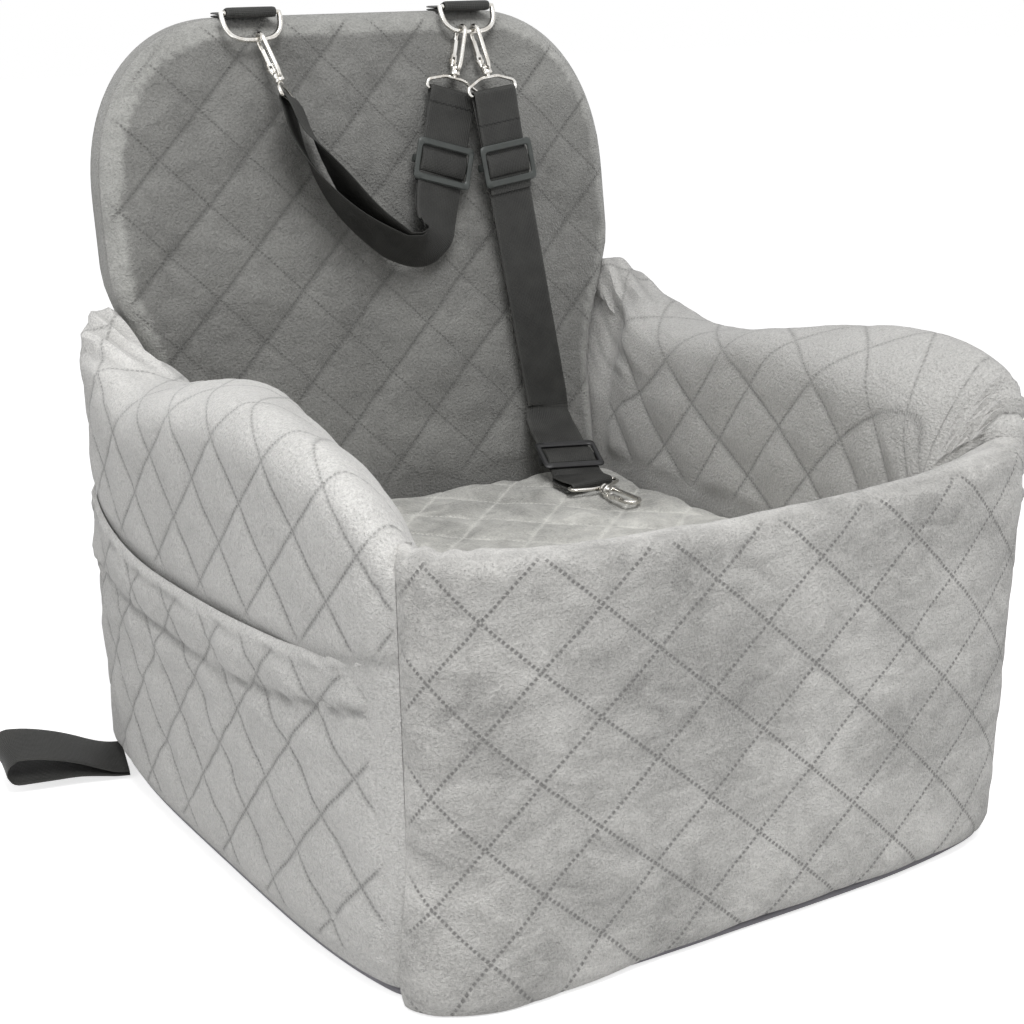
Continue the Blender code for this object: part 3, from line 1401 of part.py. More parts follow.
def make_webbing():
    """Rings, hooks, straps and sliders."""
    ring = d_ring_mesh()
    for side, sign in (("left", -1), ("right", 1)):
        ring_tab(side + "_ring_tab", sign)
        place = Matrix.Translation(bar_place(sign)) @ Matrix.Rotation(-RING_TILT, 4, "X")
        add_object(side + "_d_ring", ring, NICKEL, place)
    forward = Vector((0, -1, 0))
    across = Vector((1, 0, 0))
    left = Hook("headrest_left_hook", ring_point(-1, LEFT_HOOK_OFFSET), Vector(LEFT_HOOK_UP),
                forward, Vector(LEFT_EYE_ALONG))
    right = Hook("headrest_right_hook", ring_point(1, RIGHT_HOOK_OFFSET), Vector(RIGHT_HOOK_UP),
                 forward, across)
    lead = Hook("lead_ring_hook", ring_point(1, LEAD_HOOK_OFFSET), Vector(LEAD_HOOK_UP), forward,
                Vector(LEAD_HOOK_UP).cross(Vector(LEAD_RUN_UP)))
    dog = dog_hook(lead)
    make_hooks((left, right, lead, dog))
    make_headrest_strap(left, right)
    make_lead(lead, dog)


remove_old_scene()
CUSHION_SHAPE = seat_outline(CUSHION_CLEARANCE, CUSHION_DRAW, CUSHION_CORNER, 6)
make_base()
make_walls()
make_backrest()
make_cushion()
make_pocket("left", -1)
make_pocket("right", 1)
make_webbing()
make_tether()
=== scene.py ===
import json
import math

import bmesh
import bpy
import numpy as np
from mathutils import Matrix, Vector
from mathutils.geometry import delaunay_2d_cdt


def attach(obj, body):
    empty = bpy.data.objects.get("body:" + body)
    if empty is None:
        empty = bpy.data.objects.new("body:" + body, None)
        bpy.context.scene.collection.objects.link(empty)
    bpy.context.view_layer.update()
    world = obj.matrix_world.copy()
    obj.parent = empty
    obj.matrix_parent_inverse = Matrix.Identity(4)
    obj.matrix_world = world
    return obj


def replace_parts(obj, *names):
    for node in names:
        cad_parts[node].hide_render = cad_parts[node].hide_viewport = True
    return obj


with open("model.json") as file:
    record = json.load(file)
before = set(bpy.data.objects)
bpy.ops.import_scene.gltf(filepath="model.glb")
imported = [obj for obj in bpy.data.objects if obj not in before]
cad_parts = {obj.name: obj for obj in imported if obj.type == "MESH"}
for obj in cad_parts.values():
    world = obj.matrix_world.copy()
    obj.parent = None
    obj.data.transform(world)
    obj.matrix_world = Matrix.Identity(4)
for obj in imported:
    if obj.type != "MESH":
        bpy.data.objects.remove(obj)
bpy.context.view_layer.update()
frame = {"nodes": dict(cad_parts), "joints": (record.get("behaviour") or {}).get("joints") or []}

# Sizes, in metres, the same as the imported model's
HALF_WIDTH = 0.230
HALF_DEPTH = 0.240
BOTTOM = 0.0043
SIDE_INNER = 0.042
FRONT_INNER = 0.038
SIDE_ROLL = 0.026
FRONT_ROLL = 0.017
ARM_BASE = 0.286
ARM_RISE = 0.056
LATTICE = 0.03465
CELL = LATTICE / 8
QUILT_RISE = 0.003
WEB_WIDTH = 0.040
WEB_THICKNESS = 0.0017
GAP = 0.0003
SEAM_GAP = 0.0005
SEAT_EDGE_Z = 0.186
SEAT_CLEAR_Z = 0.190
BACK_THICKNESS = 0.032
BACK_FACE_Y = 0.194
BACK_BEND_Z = 0.190
BACK_LEAN = math.tan(math.radians(8.5))
BACK_TOP = 0.549
BACK_EDGE = 0.006
LEFT_ARM = (
    (0, 0.02), (0.035, 0.26), (0.08, 0.52), (0.145, 0.74), (0.20, 0.84), (0.256, 0.90),
    (0.335, 0.94), (0.415, 0.92), (0.54, 0.76), (0.644, 0.58), (0.72, 0.44), (0.777, 0.42),
    (0.83, 0.55), (0.90, 0.76), (0.9375, 0.84), (1, 0.95),
)
RIGHT_ARM = (
    (0, 0.10), (0.029, 0.52), (0.06, 0.74), (0.10, 0.89), (0.181, 1.00), (0.24, 1.00),
    (0.308, 0.94), (0.38, 0.83), (0.446, 0.70), (0.567, 0.49), (0.677, 0.40), (0.765, 0.43),
    (0.846, 0.60), (0.9375, 0.83), (1, 0.92),
)
POCKET_MOUTH = (
    (-0.240, 0.2185), (-0.228, 0.217), (-0.160, 0.2060), (-0.100, 0.2015), (-0.040, 0.1975),
    (0.020, 0.1950), (0.080, 0.1945), (0.140, 0.1985), (0.200, 0.2080), (0.228, 0.219),
    (0.240, 0.222),
)
POCKET_SEAM = (
    (-0.232, 0.185), (-0.159, 0.172), (-0.109, 0.165), (-0.065, 0.159), (0.013, 0.157),
    (0.089, 0.157), (0.150, 0.158), (0.203, 0.165), (0.240, 0.174),
)
# Cushion, HALF being half its width
CUSHION_HALF = 0.1865
CUSHION_CORNER = 0.030
CUSHION_BOTTOM = 0.1089
CUSHION_TOP = 0.1829

# Webbing, rings and ring tabs
WEB_LAYER_GAP = 0.0005
WEB_END = 0.006
THIN_SPACING = 0.008
THIN_BEND = 0.995
SEWN_END = 0.022
RING_WIRE = 0.0040
RING_DEPTH = 0.0210
RING_HALF = 0.0232
RING_TILT = math.radians(22)
TAB_TAIL = 0.014

# Snap hooks and sliders, the hooks measured up from their swivel
HOOK_HALF_WIDTH = 0.0063
HOOK_WIRE = 0.0034
HOOK_SHANK = 0.033
EYE_WIRE = 0.0028
EYE_DROP = 0.0145
EYE_HALF = 0.0226
SLIDER_HEIGHT = 0.0330
SLIDER_DROP = 0.056
ROLL_HALF_HEIGHT = 0.0093

# Headrest strap: shares of the span, the drop, the standoff and a quarter twist
HEADREST_DROP = 0.116
HEADREST_STANDOFF = 0.0220
HEADREST_OPENING = 0.0055
HEADREST_RUN = 0.080
OPENING_SHARE = 0.5
HEADREST_ROUTE_SHARES = (
    (0.05, 0.20, 1.00, 1.00), (0.13, 0.42, 1.00, 1.00), (0.26, 0.66, 1.00, 1.00),
    (0.43, 0.88, 1.00, 1.00), (0.59, 0.99, 1.00, 1.00), (0.71, 1.00, 1.00, 0.85),
    (0.785, 0.92, 0.86, 0.50), (0.815, 0.82, 0.66, 0.18),
)
LEFT_EYE_ALONG = (0.50, 0.86, 0.0)

# Lead past its straight run: shares of the sidestep, the drop and the reach
LEAD_RUN = 0.250
LEAD_RUN_UP = (-0.125, 0.12, 1.0)
LEAD_ROUTE_SHARES = (
    (0.05, 0.17, 0.02), (0.16, 0.34, 0.10), (0.32, 0.48, 0.24), (0.47, 0.61, 0.38),
    (0.60, 0.73, 0.505), (0.73, 0.85, 0.63), (0.86, 0.97, 0.755),
)
LEAD_STRAIGHT_ROWS = (3, 6)
LEAD_SLIDER_SHARE = 0.53

# Tether loop at the rear left corner
TETHER_LENGTH = 0.090
TETHER_HEIGHT = 0.019
TETHER_SET = 0.046
TETHER_SWEEP = 0.016
TETHER_TILT = math.radians(16)
TETHER_FLOOR = 0.0005
TETHER_LIFT = 0.0050

# Camera, fitted to the photograph's straight edges
CAMERA_PLACE = (-0.7250, -1.1922, 0.6069)
CAMERA_AZIMUTH = math.radians(-30.82)
CAMERA_ELEVATION = math.radians(15.83)
CAMERA_ROLL = math.radians(-0.64)
CAMERA_LENS_MM = 71.62
LAMP_TARGET = (0, 0, 0.25)
FLOOR_REACH = 8
FLOOR_Z = -0.0006


# Camera and light
def add_camera():
    """The camera that took the photograph."""
    flat = math.cos(CAMERA_ELEVATION)
    back = Vector((
        math.sin(CAMERA_AZIMUTH) * flat, -math.cos(CAMERA_AZIMUTH) * flat,
        math.sin(CAMERA_ELEVATION),
    ))
    right = Vector((math.cos(CAMERA_AZIMUTH), math.sin(CAMERA_AZIMUTH), 0))
    up = back.cross(right)
    turned_right = right * math.cos(CAMERA_ROLL) + up * math.sin(CAMERA_ROLL)
    turned_up = up * math.cos(CAMERA_ROLL) - right * math.sin(CAMERA_ROLL)
    data = bpy.data.cameras.new("camera")
    data.lens = CAMERA_LENS_MM
    data.sensor_width = 36
    camera = bpy.data.objects.new("camera", data)
    bpy.context.scene.collection.objects.link(camera)
    turn = Matrix((turned_right, turned_up, back)).transposed()
    camera.matrix_world = Matrix.Translation(CAMERA_PLACE) @ turn.to_4x4()
    bpy.context.scene.camera = camera


def area_light(name, place, size, power):
    data = bpy.data.lights.new(name, "AREA")
    data.shape = "DISK"
    data.size = size
    data.energy = power
    light = bpy.data.objects.new(name, data)
    bpy.context.scene.collection.objects.link(light)
    aim = (Vector(place) - Vector(LAMP_TARGET)).to_track_quat("Z", "Y")
    light.matrix_world = Matrix.Translation(place) @ aim.to_matrix().to_4x4()


def seen_rays(tree):
    """1 where a camera, glossy or transmission ray looks, 0 for the light itself."""
    path = tree.nodes.new("ShaderNodeLightPath")
    total = path.outputs["Is Camera Ray"]
    for ray in ("Is Glossy Ray", "Is Transmission Ray"):
        either = tree.nodes.new("ShaderNodeMath")
        either.operation = "MAXIMUM"
        tree.links.new(total, either.inputs[0])
        tree.links.new(path.outputs[ray], either.inputs[1])
        total = either.outputs[0]
    return total


def add_light():
    """A pale studio: even light all round, two large soft lamps, white behind the seat."""
    world = bpy.data.worlds.new("studio")
    bpy.context.scene.world = world
    world.use_nodes = True
    tree = world.node_tree
    shade = tree.nodes["Background"]
    level = tree.nodes.new("ShaderNodeMapRange")
    level.inputs["To Min"].default_value = 0.42
    level.inputs["To Max"].default_value = 1.0
    tree.links.new(seen_rays(tree), level.inputs["Value"])
    tree.links.new(level.outputs["Result"], shade.inputs["Strength"])
    shade.inputs["Color"].default_value = (1, 1, 1, 1)
    area_light("key", (-0.35, -1.1, 2.1), 1.1, 30)
    area_light("fill", (-1.9, -0.3, 0.9), 1.3, 6)
    bpy.context.scene.view_settings.view_transform = "Standard"


def add_floor():
    material = bpy.data.materials.new("floor_white")
    material.use_nodes = True
    tree = material.node_tree
    tree.nodes.remove(tree.nodes["Principled BSDF"])
    matt = tree.nodes.new("ShaderNodeBsdfDiffuse")
    matt.inputs["Color"].default_value = (0.80, 0.80, 0.80, 1)
    glow = tree.nodes.new("ShaderNodeEmission")
    level = tree.nodes.new("ShaderNodeMapRange")
    level.inputs["To Max"].default_value = 0.70
    tree.links.new(seen_rays(tree), level.inputs["Value"])
    tree.links.new(level.outputs["Result"], glow.inputs["Strength"])
    both = tree.nodes.new("ShaderNodeAddShader")
    tree.links.new(matt.outputs[0], both.inputs[0])
    tree.links.new(glow.outputs[0], both.inputs[1])
    tree.links.new(both.outputs[0], tree.nodes["Material Output"].inputs["Surface"])
    mesh = bpy.data.meshes.new("floor")
    corners = [
        (x * FLOOR_REACH, y * FLOOR_REACH, FLOOR_Z) for x, y in ((-1, -1), (1, -1), (1, 1), (-1, 1))
    ]
    mesh.from_pydata(corners, [], [(0, 1, 2, 3)])
    mesh.materials.append(material)
    floor = bpy.data.objects.new("floor", mesh)
    bpy.context.scene.collection.objects.link(floor)


# Materials
class Finish:
    """A material being put together from nodes."""

    def __init__(self, name, color, **sockets):
        self.material = bpy.data.materials.new(name)
        self.material.use_nodes = True
        self.tree = self.material.node_tree
        self.shader = self.tree.nodes["Principled BSDF"]
        self.shader.inputs["Base Color"].default_value = (*color, 1)
        for key, value in sockets.items():
            self.shader.inputs[key.replace("_", " ")].default_value = value
        self.normal = None

    def put(self, socket, value):
        if hasattr(value, "is_output"):
            self.tree.links.new(value, socket)
        elif value is not None:
            socket.default_value = value

    def math(self, operation, *values):
        node = self.tree.nodes.new("ShaderNodeMath")
        node.operation = operation
        for socket, value in zip(node.inputs, values):
            self.put(socket, value)
        return node.outputs[0]

    def map_range(self, value, low, high, to_low, to_high, smooth=False):
        node = self.tree.nodes.new("ShaderNodeMapRange")
        node.interpolation_type = "SMOOTHSTEP" if smooth else "LINEAR"
        keys = ("Value", "From Min", "From Max", "To Min", "To Max")
        for key, amount in zip(keys, (value, low, high, to_low, to_high)):
            self.put(node.inputs[key], amount)
        return node.outputs["Result"]

    def uv(self, name):
        node = self.tree.nodes.new("ShaderNodeUVMap")
        node.uv_map = name
        split = self.tree.nodes.new("ShaderNodeSeparateXYZ")
        self.tree.links.new(node.outputs[0], split.inputs[0])
        return split.outputs[0], split.outputs[1]

    def place(self, stretch=(1, 1, 1), turn=(0, 0, 0)):
        node = self.tree.nodes.new("ShaderNodeTexCoord")
        shift = self.tree.nodes.new("ShaderNodeMapping")
        shift.inputs["Scale"].default_value = stretch
        shift.inputs["Rotation"].default_value = turn
        self.tree.links.new(node.outputs["Object"], shift.inputs["Vector"])
        return shift.outputs[0]

    def noise(self, scale, detail=2.0, rough=0.5, vector=None, warp=0.0):
        node = self.tree.nodes.new("ShaderNodeTexNoise")
        node.inputs["Scale"].default_value = scale
        node.inputs["Detail"].default_value = detail
        node.inputs["Roughness"].default_value = rough
        node.inputs["Distortion"].default_value = warp
        self.tree.links.new(vector or self.place(), node.inputs["Vector"])
        return node.outputs["Fac"]

    def mix(self, factor, first, second, blend="MIX"):
        node = self.tree.nodes.new("ShaderNodeMix")
        node.data_type = "RGBA"
        node.blend_type = blend
        self.put(node.inputs["Factor"], factor)
        for socket, value in ((node.inputs[6], first), (node.inputs[7], second)):
            self.put(socket, value if hasattr(value, "is_output") else (*value, 1))
        return node.outputs[2]

    def grey(self, light):
        """A colour with the same value in all three channels."""
        node = self.tree.nodes.new("ShaderNodeCombineXYZ")
        for socket in node.inputs:
            self.tree.links.new(light, socket)
        return node.outputs[0]

    def bump(self, height, distance, strength=1.0):
        node = self.tree.nodes.new("ShaderNodeBump")
        node.inputs["Distance"].default_value = distance
        node.inputs["Strength"].default_value = strength
        self.tree.links.new(height, node.inputs["Height"])
        if self.normal is not None:
            self.tree.links.new(self.normal, node.inputs["Normal"])
        self.normal = node.outputs[0]

    def done(self, color=None, roughness=None):
        if color is not None:
            self.tree.links.new(color, self.shader.inputs["Base Color"])
        if roughness is not None:
            self.tree.links.new(roughness, self.shader.inputs["Roughness"])
        if self.normal is not None:
            self.tree.links.new(self.normal, self.shader.inputs["Normal"])
        return self.material


def scaled(color, amount):
    return tuple(min(1.0, c * amount) for c in color)


def velvet(name, color, patches, slash=1.0, backslash=1.0, thread=0.50, dash=0.0031,
           shade=0.86, wide=1.0, painted_light_gain=1.28):
    """Short-pile velvet, quilted in squares: patches is how far its tone wanders, slash and
    backslash how strongly the painted shade of the creases shows along the two ways of
    stitching, thread the stitches' tone (their thread, and where darker the painted shade in
    their holes), dash their length, shade the painted shade in the creases (above 1 it paints
    them paler), wide their width, and the last argument how strongly the painted highlights
    and painted shade given in the marks layer show."""
    f = Finish(name, color, Roughness=0.9, Sheen_Weight=0.45, Sheen_Roughness=0.45)
    f.shader.inputs["Specular IOR Level"].default_value = 0.15
    u, v = f.uv("quilt")
    lines, painted_light_and_shade = f.uv("marks")
    cloud = f.noise(9, 3, 0.55, f.place((1, 1, 1.4)), 0.6)
    brushed = f.noise(34, 4, 0.62, f.place((1, 1, 1.9), (0.3, 0.5, 0.4)), 1.1)
    grain = f.noise(560, 2, 0.55)
    fine = f.noise(1500, 1, 0.5)
    tone = f.math("MULTIPLY_ADD", f.math("SUBTRACT", cloud, 0.5), 1.5, 0.97)
    tone = f.math("MULTIPLY_ADD", f.math("SUBTRACT", brushed, 0.5), 1.1, tone)
    tone = f.map_range(tone, 0.35, 1.65, 1 - patches, 1 + patches)
    speck = f.math("MULTIPLY_ADD", f.math("SUBTRACT", grain, 0.5), 0.7, tone)
    speck = f.math("MULTIPLY_ADD", f.math("SUBTRACT", fine, 0.5), 0.5, speck)
    dips = None
    crease_shade = None
    total, rest = f.math("ADD", u, v), f.math("SUBTRACT", u, v)
    for across, along, strength in ((total, rest, backslash), (rest, total, slash)):
        off = f.math("PINGPONG", across, LATTICE)
        near = f.math("MULTIPLY", off, 1 / math.sqrt(2))
        crease = f.map_range(near, 0.0, 0.0034 * wide, strength, 0.0, True)
        way = f.math("MULTIPLY", along, 1 / math.sqrt(2))
        step = f.math("ABSOLUTE", f.math("WRAP", way, dash / 2, -dash / 2))
        row = f.map_range(near, 0.0005 * wide, 0.0010 * wide, 1, 0)
        hole = f.math("MULTIPLY", row, f.map_range(step, dash * 0.22, dash * 0.34, 1, 0))
        dips = hole if dips is None else f.math("MAXIMUM", dips, hole)
        crease_shade = crease if crease_shade is None else f.math("MAXIMUM", crease_shade, crease)
    dips = f.math("MULTIPLY", dips, lines)
    crease_shade = f.math("MULTIPLY", crease_shade, lines)
    # Painted shade in the quilting's creases (paler where shade is above 1), then the painted
    # highlights and painted shade given in the marks layer
    light = f.math("MULTIPLY", speck, f.map_range(crease_shade, 0, 1, 1, shade))
    light = f.math("MULTIPLY", light, f.map_range(painted_light_and_shade, -1, 1, 2 - painted_light_gain, painted_light_gain))
    base = f.mix(1.0, color, f.grey(light), "MULTIPLY")
    # Stitches in the thread's tone: their thread, and where darker the painted shade in their holes
    base = f.mix(f.math("MULTIPLY", dips, 0.85), base, scaled(color, thread))
    f.bump(f.noise(190, 3, 0.6, f.place((1, 1, 1.4)), 0.3), 0.0009, 0.40)
    f.bump(grain, 0.0019, 0.9)
    f.bump(fine, 0.0006, 0.9)
    f.bump(f.math("MULTIPLY", dips, -1), 0.0006, 0.7)
    return f.done(base)


def webbing():
    """Polypropylene webbing: fine ribs across, a flat twill and softly glossy threads."""
    f = Finish("webbing_black", (0.040, 0.040, 0.037), Roughness=0.55)
    f.shader.inputs["Specular IOR Level"].default_value = 0.30
    across, along = f.uv("quilt")
    rib = f.math("ABSOLUTE", f.math("SINE", f.math("MULTIPLY", along, math.pi / 0.0011)))
    thread = f.math("ABSOLUTE", f.math("SINE", f.math("MULTIPLY", across, math.pi / 0.0016)))
    slope = f.math("ADD", along, f.math("MULTIPLY", across, 0.7))
    slant = f.math("SINE", f.math("MULTIPLY", slope, math.tau / 0.0042))
    wear = f.noise(60, 3, 0.6)
    height = f.math("MULTIPLY_ADD", thread, 1.2, rib)
    light = f.math("MULTIPLY_ADD", slant, 0.04, f.map_range(wear, 0.3, 0.7, 0.75, 1.35))
    # Painted shade in the weave's hollows, its raised threads painted lighter
    light = f.math("MULTIPLY", light, f.map_range(height, 0, 2.2, 0.6, 1.25))
    # Painted highlight along both selvedges
    edge = f.map_range(f.math("ABSOLUTE", across), 0.0168, 0.0182, 0.0, 1.0)
    light = f.math("MULTIPLY_ADD", edge, 0.25, light)
    beside = f.uv("marks")[0]
    wander = f.math("MULTIPLY", f.math("PINGPONG", across, 0.0022), 0.5)
    aside = f.math("ABSOLUTE", f.math("SUBTRACT", beside, wander))
    seam = f.map_range(aside, 0.0004, 0.0009, 1.0, 0.0)
    light = f.math("MULTIPLY_ADD", seam, -0.5, light)
    f.bump(height, 0.00025, 0.7)
    f.bump(seam, 0.0005, 0.8)
    f.bump(f.noise(900, 1), 0.0002, 0.5)
    color = f.mix(1.0, (0.034, 0.034, 0.032), f.grey(light), "MULTIPLY")
    return f.done(color, f.map_range(wear, 0.3, 0.7, 0.42, 0.6))


def metal():
    """Bright nickel plate with faint polish marks."""
    f = Finish("nickel_plate", (0.80, 0.78, 0.74), Metallic=1.0, Roughness=0.18)
    smear = f.noise(220, 3, 0.6, f.place((1, 1, 0.25)))
    tint = f.mix(f.map_range(smear, 0.35, 0.65, 0, 1), (0.84, 0.83, 0.80), (0.62, 0.59, 0.54))
    f.bump(f.noise(500, 2), 0.0002, 0.25)
    return f.done(tint, f.map_range(smear, 0.3, 0.7, 0.12, 0.30))


def moulded(name, color):
    f = Finish(name, color, Roughness=0.42)
    grain = f.noise(1300, 2, 0.6)
    tint = f.mix(f.map_range(f.noise(70, 3), 0.3, 0.7, 0, 1), scaled(color, 0.85), scaled(color, 1.2))
    f.bump(grain, 0.0003, 0.35)
    return f.done(tint, f.map_range(grain, 0.3, 0.7, 0.34, 0.52))


def plain_cloth(name, color):
    """Close woven lining cloth."""
    f = Finish(name, color, Roughness=0.85, Sheen_Weight=0.3)
    u, v = f.uv("quilt")
    warp = f.math("SINE", f.math("MULTIPLY", u, math.tau / 0.0012))
    weft = f.math("SINE", f.math("MULTIPLY", v, math.tau / 0.0012))
    weave = f.math("MULTIPLY", warp, weft)
    worn = f.noise(40, 4, 0.6)
    tint = f.mix(f.map_range(worn, 0.3, 0.7, 0, 1), scaled(color, 0.86), scaled(color, 1.12))
    f.bump(weave, 0.0002, 0.6)
    f.bump(f.noise(180, 3), 0.0008, 0.5)
    return f.done(tint)


def sponge(name, color):
    f = Finish(name, color, Roughness=0.95)
    cells = f.tree.nodes.new("ShaderNodeTexVoronoi")
    cells.inputs["Scale"].default_value = 900
    f.tree.links.new(f.place(), cells.inputs["Vector"])
    pores = cells.outputs["Distance"]
    # The pores painted darker: painted shade in their dents
    tint = f.mix(f.map_range(pores, 0.1, 0.6, 0, 1), scaled(color, 0.8), scaled(color, 1.05))
    f.bump(pores, 0.0006, 0.6)
    return f.done(tint)


MATERIALS = {
    "side": velvet("velvet_side", (0.600, 0.592, 0.574), 0.12, shade=0.76, painted_light_gain=1.38),
    "front": velvet(
        "velvet_front", (0.55, 0.541, 0.522), 0.52, 0.2, 0.2, 0.40, 0.0034, wide=1.35
    ),
    "back": velvet(
        "velvet_back", (0.246, 0.245, 0.234), 0.38, 1.0, 0.25, 0.70, shade=0.78, painted_light_gain=1.62
    ),
    # The cushion's velvet is given a paler colour to make up for the shade the walls cast on it:
    # painted light
    "cushion": velvet(
        "velvet_cushion", (0.62, 0.613, 0.575), 0.75, thread=1.4, dash=0.0036, shade=1.3, wide=1.1
    ),
    "strip": velvet("velvet_strip", (0.345, 0.342, 0.327), 0.12, 0.0, 0.0),
    "base": plain_cloth("base_cloth", (0.27, 0.262, 0.29)),
    "web": webbing(),
    "metal": metal(),
    "slider": moulded("slider_plastic", (0.050, 0.056, 0.053)),
    "black": moulded("slider_black", (0.020, 0.020, 0.021)),
    "foam": sponge("foam", (0.75, 0.72, 0.60)),
    "board": moulded("board", (0.30, 0.24, 0.17)),
}


# Mesh helpers
def eased(rows):
    """Rows of numbers with each one but the two ends drawn toward its neighbours."""
    rows = rows.copy()
    rows[1:-1] = (rows[:-2] + 2 * rows[1:-1] + rows[2:]) / 4
    return rows


def curve(table, x):
    """A smooth curve through a table of points, read at x."""
    xs, ys = (np.array(c, float) for c in zip(*table))
    slopes = np.gradient(ys, xs)
    slopes[1:-1] = (ys[2:] - ys[:-2]) / (xs[2:] - xs[:-2])
    x = np.clip(np.asarray(x, float), xs[0], xs[-1])
    i = np.clip(np.searchsorted(xs, x, "right") - 1, 0, len(xs) - 2)
    span = xs[i + 1] - xs[i]
    t = (x - xs[i]) / span
    return (
        (2 * t**3 - 3 * t**2 + 1) * ys[i] + (t**3 - 2 * t**2 + t) * span * slopes[i]
        + (3 * t**2 - 2 * t**3) * ys[i + 1] + (t**3 - t**2) * span * slopes[i + 1]
    )


def smooth(value):
    value = np.clip(value, 0, 1)
    return value * value * (3 - 2 * value)


def puff(u, v, fullness=0.6):
    """How far the quilting rises, from 0 on its stitch lines to 1 between them."""
    turn = math.pi / (2 * LATTICE)
    return np.abs(np.sin((u + v) * turn) * np.sin((u - v) * turn)) ** fullness


def ripple(u, v, size, seed):
    """An uneven soft rise and fall of about 1, with hollows about size apart."""
    total = 0
    for k in range(7):
        turn = seed + 2.4 * k
        wave = (1 + 0.4 * math.sin(5 * turn)) * math.tau / size
        total = total + np.sin(wave * (u * math.cos(turn) + v * math.sin(turn)) + 7.3 * turn)
    return total / 3.5


def gauss(distance, width):
    return np.exp(-((distance / width) ** 2))


def dome(share):
    """0 at 0, rising steeply and rounding off to 1 at 1."""
    return np.sqrt(np.clip(1 - (1 - np.clip(share, 0, 1)) ** 2, 0, 1))


def unit(vectors):
    """The vectors along the last axis, made one long."""
    vectors = np.asarray(vectors, float)
    return vectors / np.maximum(np.linalg.norm(vectors, axis=-1, keepdims=True), 1e-9)


def normals_of(points):
    """Unit normals of a grid of points, by row and column."""
    return unit(np.cross(np.gradient(points, axis=0), np.gradient(points, axis=1)))


def grid_faces(rows, columns, height, start=0):
    """Triangles over a grid, every cell split along its lower diagonal."""
    index = np.arange(rows * columns).reshape(rows, columns)
    a, b, c, d = index[:-1, :-1], index[:-1, 1:], index[1:, 1:], index[1:, :-1]
    flat = np.asarray(height, float).ravel()
    low = (flat[a] + flat[c] <= flat[b] + flat[d]).ravel()
    one = np.stack([a, b, c, a, c, d], -1).reshape(-1, 6)
    two = np.stack([a, b, d, b, c, d], -1).reshape(-1, 6)
    return (np.where(low[:, None], one, two).reshape(-1, 3) + start).tolist()


def ring_faces(rows, sides, closed=False):
    """Faces between rows of points that run in rings, with both ends capped unless the
    rows close on themselves."""
    faces = []
    for r in range(rows if closed else rows - 1):
        low, high = r * sides, (r + 1) % rows * sides
        for k in range(sides):
            n = (k + 1) % sides
            faces.append((low + k, low + n, high + n, high + k))
    if not closed:
        faces.append(list(reversed(range(sides))))
        faces.append(list(range((rows - 1) * sides, rows * sides)))
    return faces


def read_vectors(mesh, key):
    """Where a mesh's vertices lie (co) or look (normal), one row each."""
    values = np.empty(len(mesh.vertices) * 3)
    mesh.vertices.foreach_get(key, values)
    return values.reshape(-1, 3)


def add_piece(name, points, faces, material, body, uv=None, marks=None, slots=None,
              extra=(), angle=50):
    """A new mesh object that moves with a body; extra are further materials, slots the
    material of each face."""
    mesh = bpy.data.meshes.new(name)
    mesh.from_pydata(np.asarray(points, float).tolist(), [], faces)
    for finish in (material, *extra):
        mesh.materials.append(MATERIALS[finish])
    if slots is not None:
        mesh.polygons.foreach_set("material_index", slots)
    loops = np.empty(len(mesh.loops), int)
    mesh.loops.foreach_get("vertex_index", loops)
    for layer, values in (("quilt", uv), ("marks", marks)):
        if values is None:
            values = np.zeros((len(points), 2))
        data = mesh.uv_layers.new(name=layer)
        data.data.foreach_set("uv", np.asarray(values, float)[loops].ravel())
    work = bmesh.new()
    work.from_mesh(mesh)
    bmesh.ops.recalc_face_normals(work, faces=work.faces)
    work.to_mesh(mesh)
    work.free()
    mesh.shade_smooth()
    mesh.set_sharp_from_angle(angle=math.radians(angle))
    piece = bpy.data.objects.new(name, mesh)
    bpy.context.scene.collection.objects.link(piece)
    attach(piece, body)
    return piece


# Where the hooks and rings lie, from the frame's joints
JOINTS = {joint["name"]: joint for joint in frame["joints"]}
ACROSS = np.array((1.0, 0.0, 0.0))
FORWARD = np.array((0.0, -1.0, 0.0))
UPWARD = np.array((0.0, 0.0, 1.0))


def axes(x_axis, z_axis):
    """The three axes of a frame, from its Z axis and the direction nearest its X axis."""
    z_axis = unit(z_axis)
    x_axis = unit(x_axis - z_axis * (z_axis @ x_axis))
    return np.stack([x_axis, np.cross(z_axis, x_axis), z_axis])


class Hook:
    """Where one snap hook lies: its own axes, its eye's axes and its eye's bar."""

    def __init__(self, name, gate_side, bar_direction):
        joint = JOINTS[name + "_swivel"]
        self.origin = np.array(joint["pos_m"])
        self.up = unit(joint["axis"])
        self.body = axes(gate_side, self.up)
        self.eye = axes(bar_direction, self.up)
        self.bar = self.origin - self.up * EYE_DROP


HOOKS = {
    "headrest_left_hook": Hook("headrest_left_hook", FORWARD, np.array(LEFT_EYE_ALONG)),
    "headrest_right_hook": Hook("headrest_right_hook", FORWARD, ACROSS),
    "lead_ring_hook": Hook(
        "lead_ring_hook", FORWARD, np.cross(JOINTS["lead_ring_hook_swivel"]["axis"], LEAD_RUN_UP)
    ),
    "lead_dog_hook": Hook("lead_dog_hook", ACROSS, ACROSS),
}
RINGS = {side: np.array(JOINTS[side + "_ring_swing"]["pos_m"]) for side in ("left", "right")}


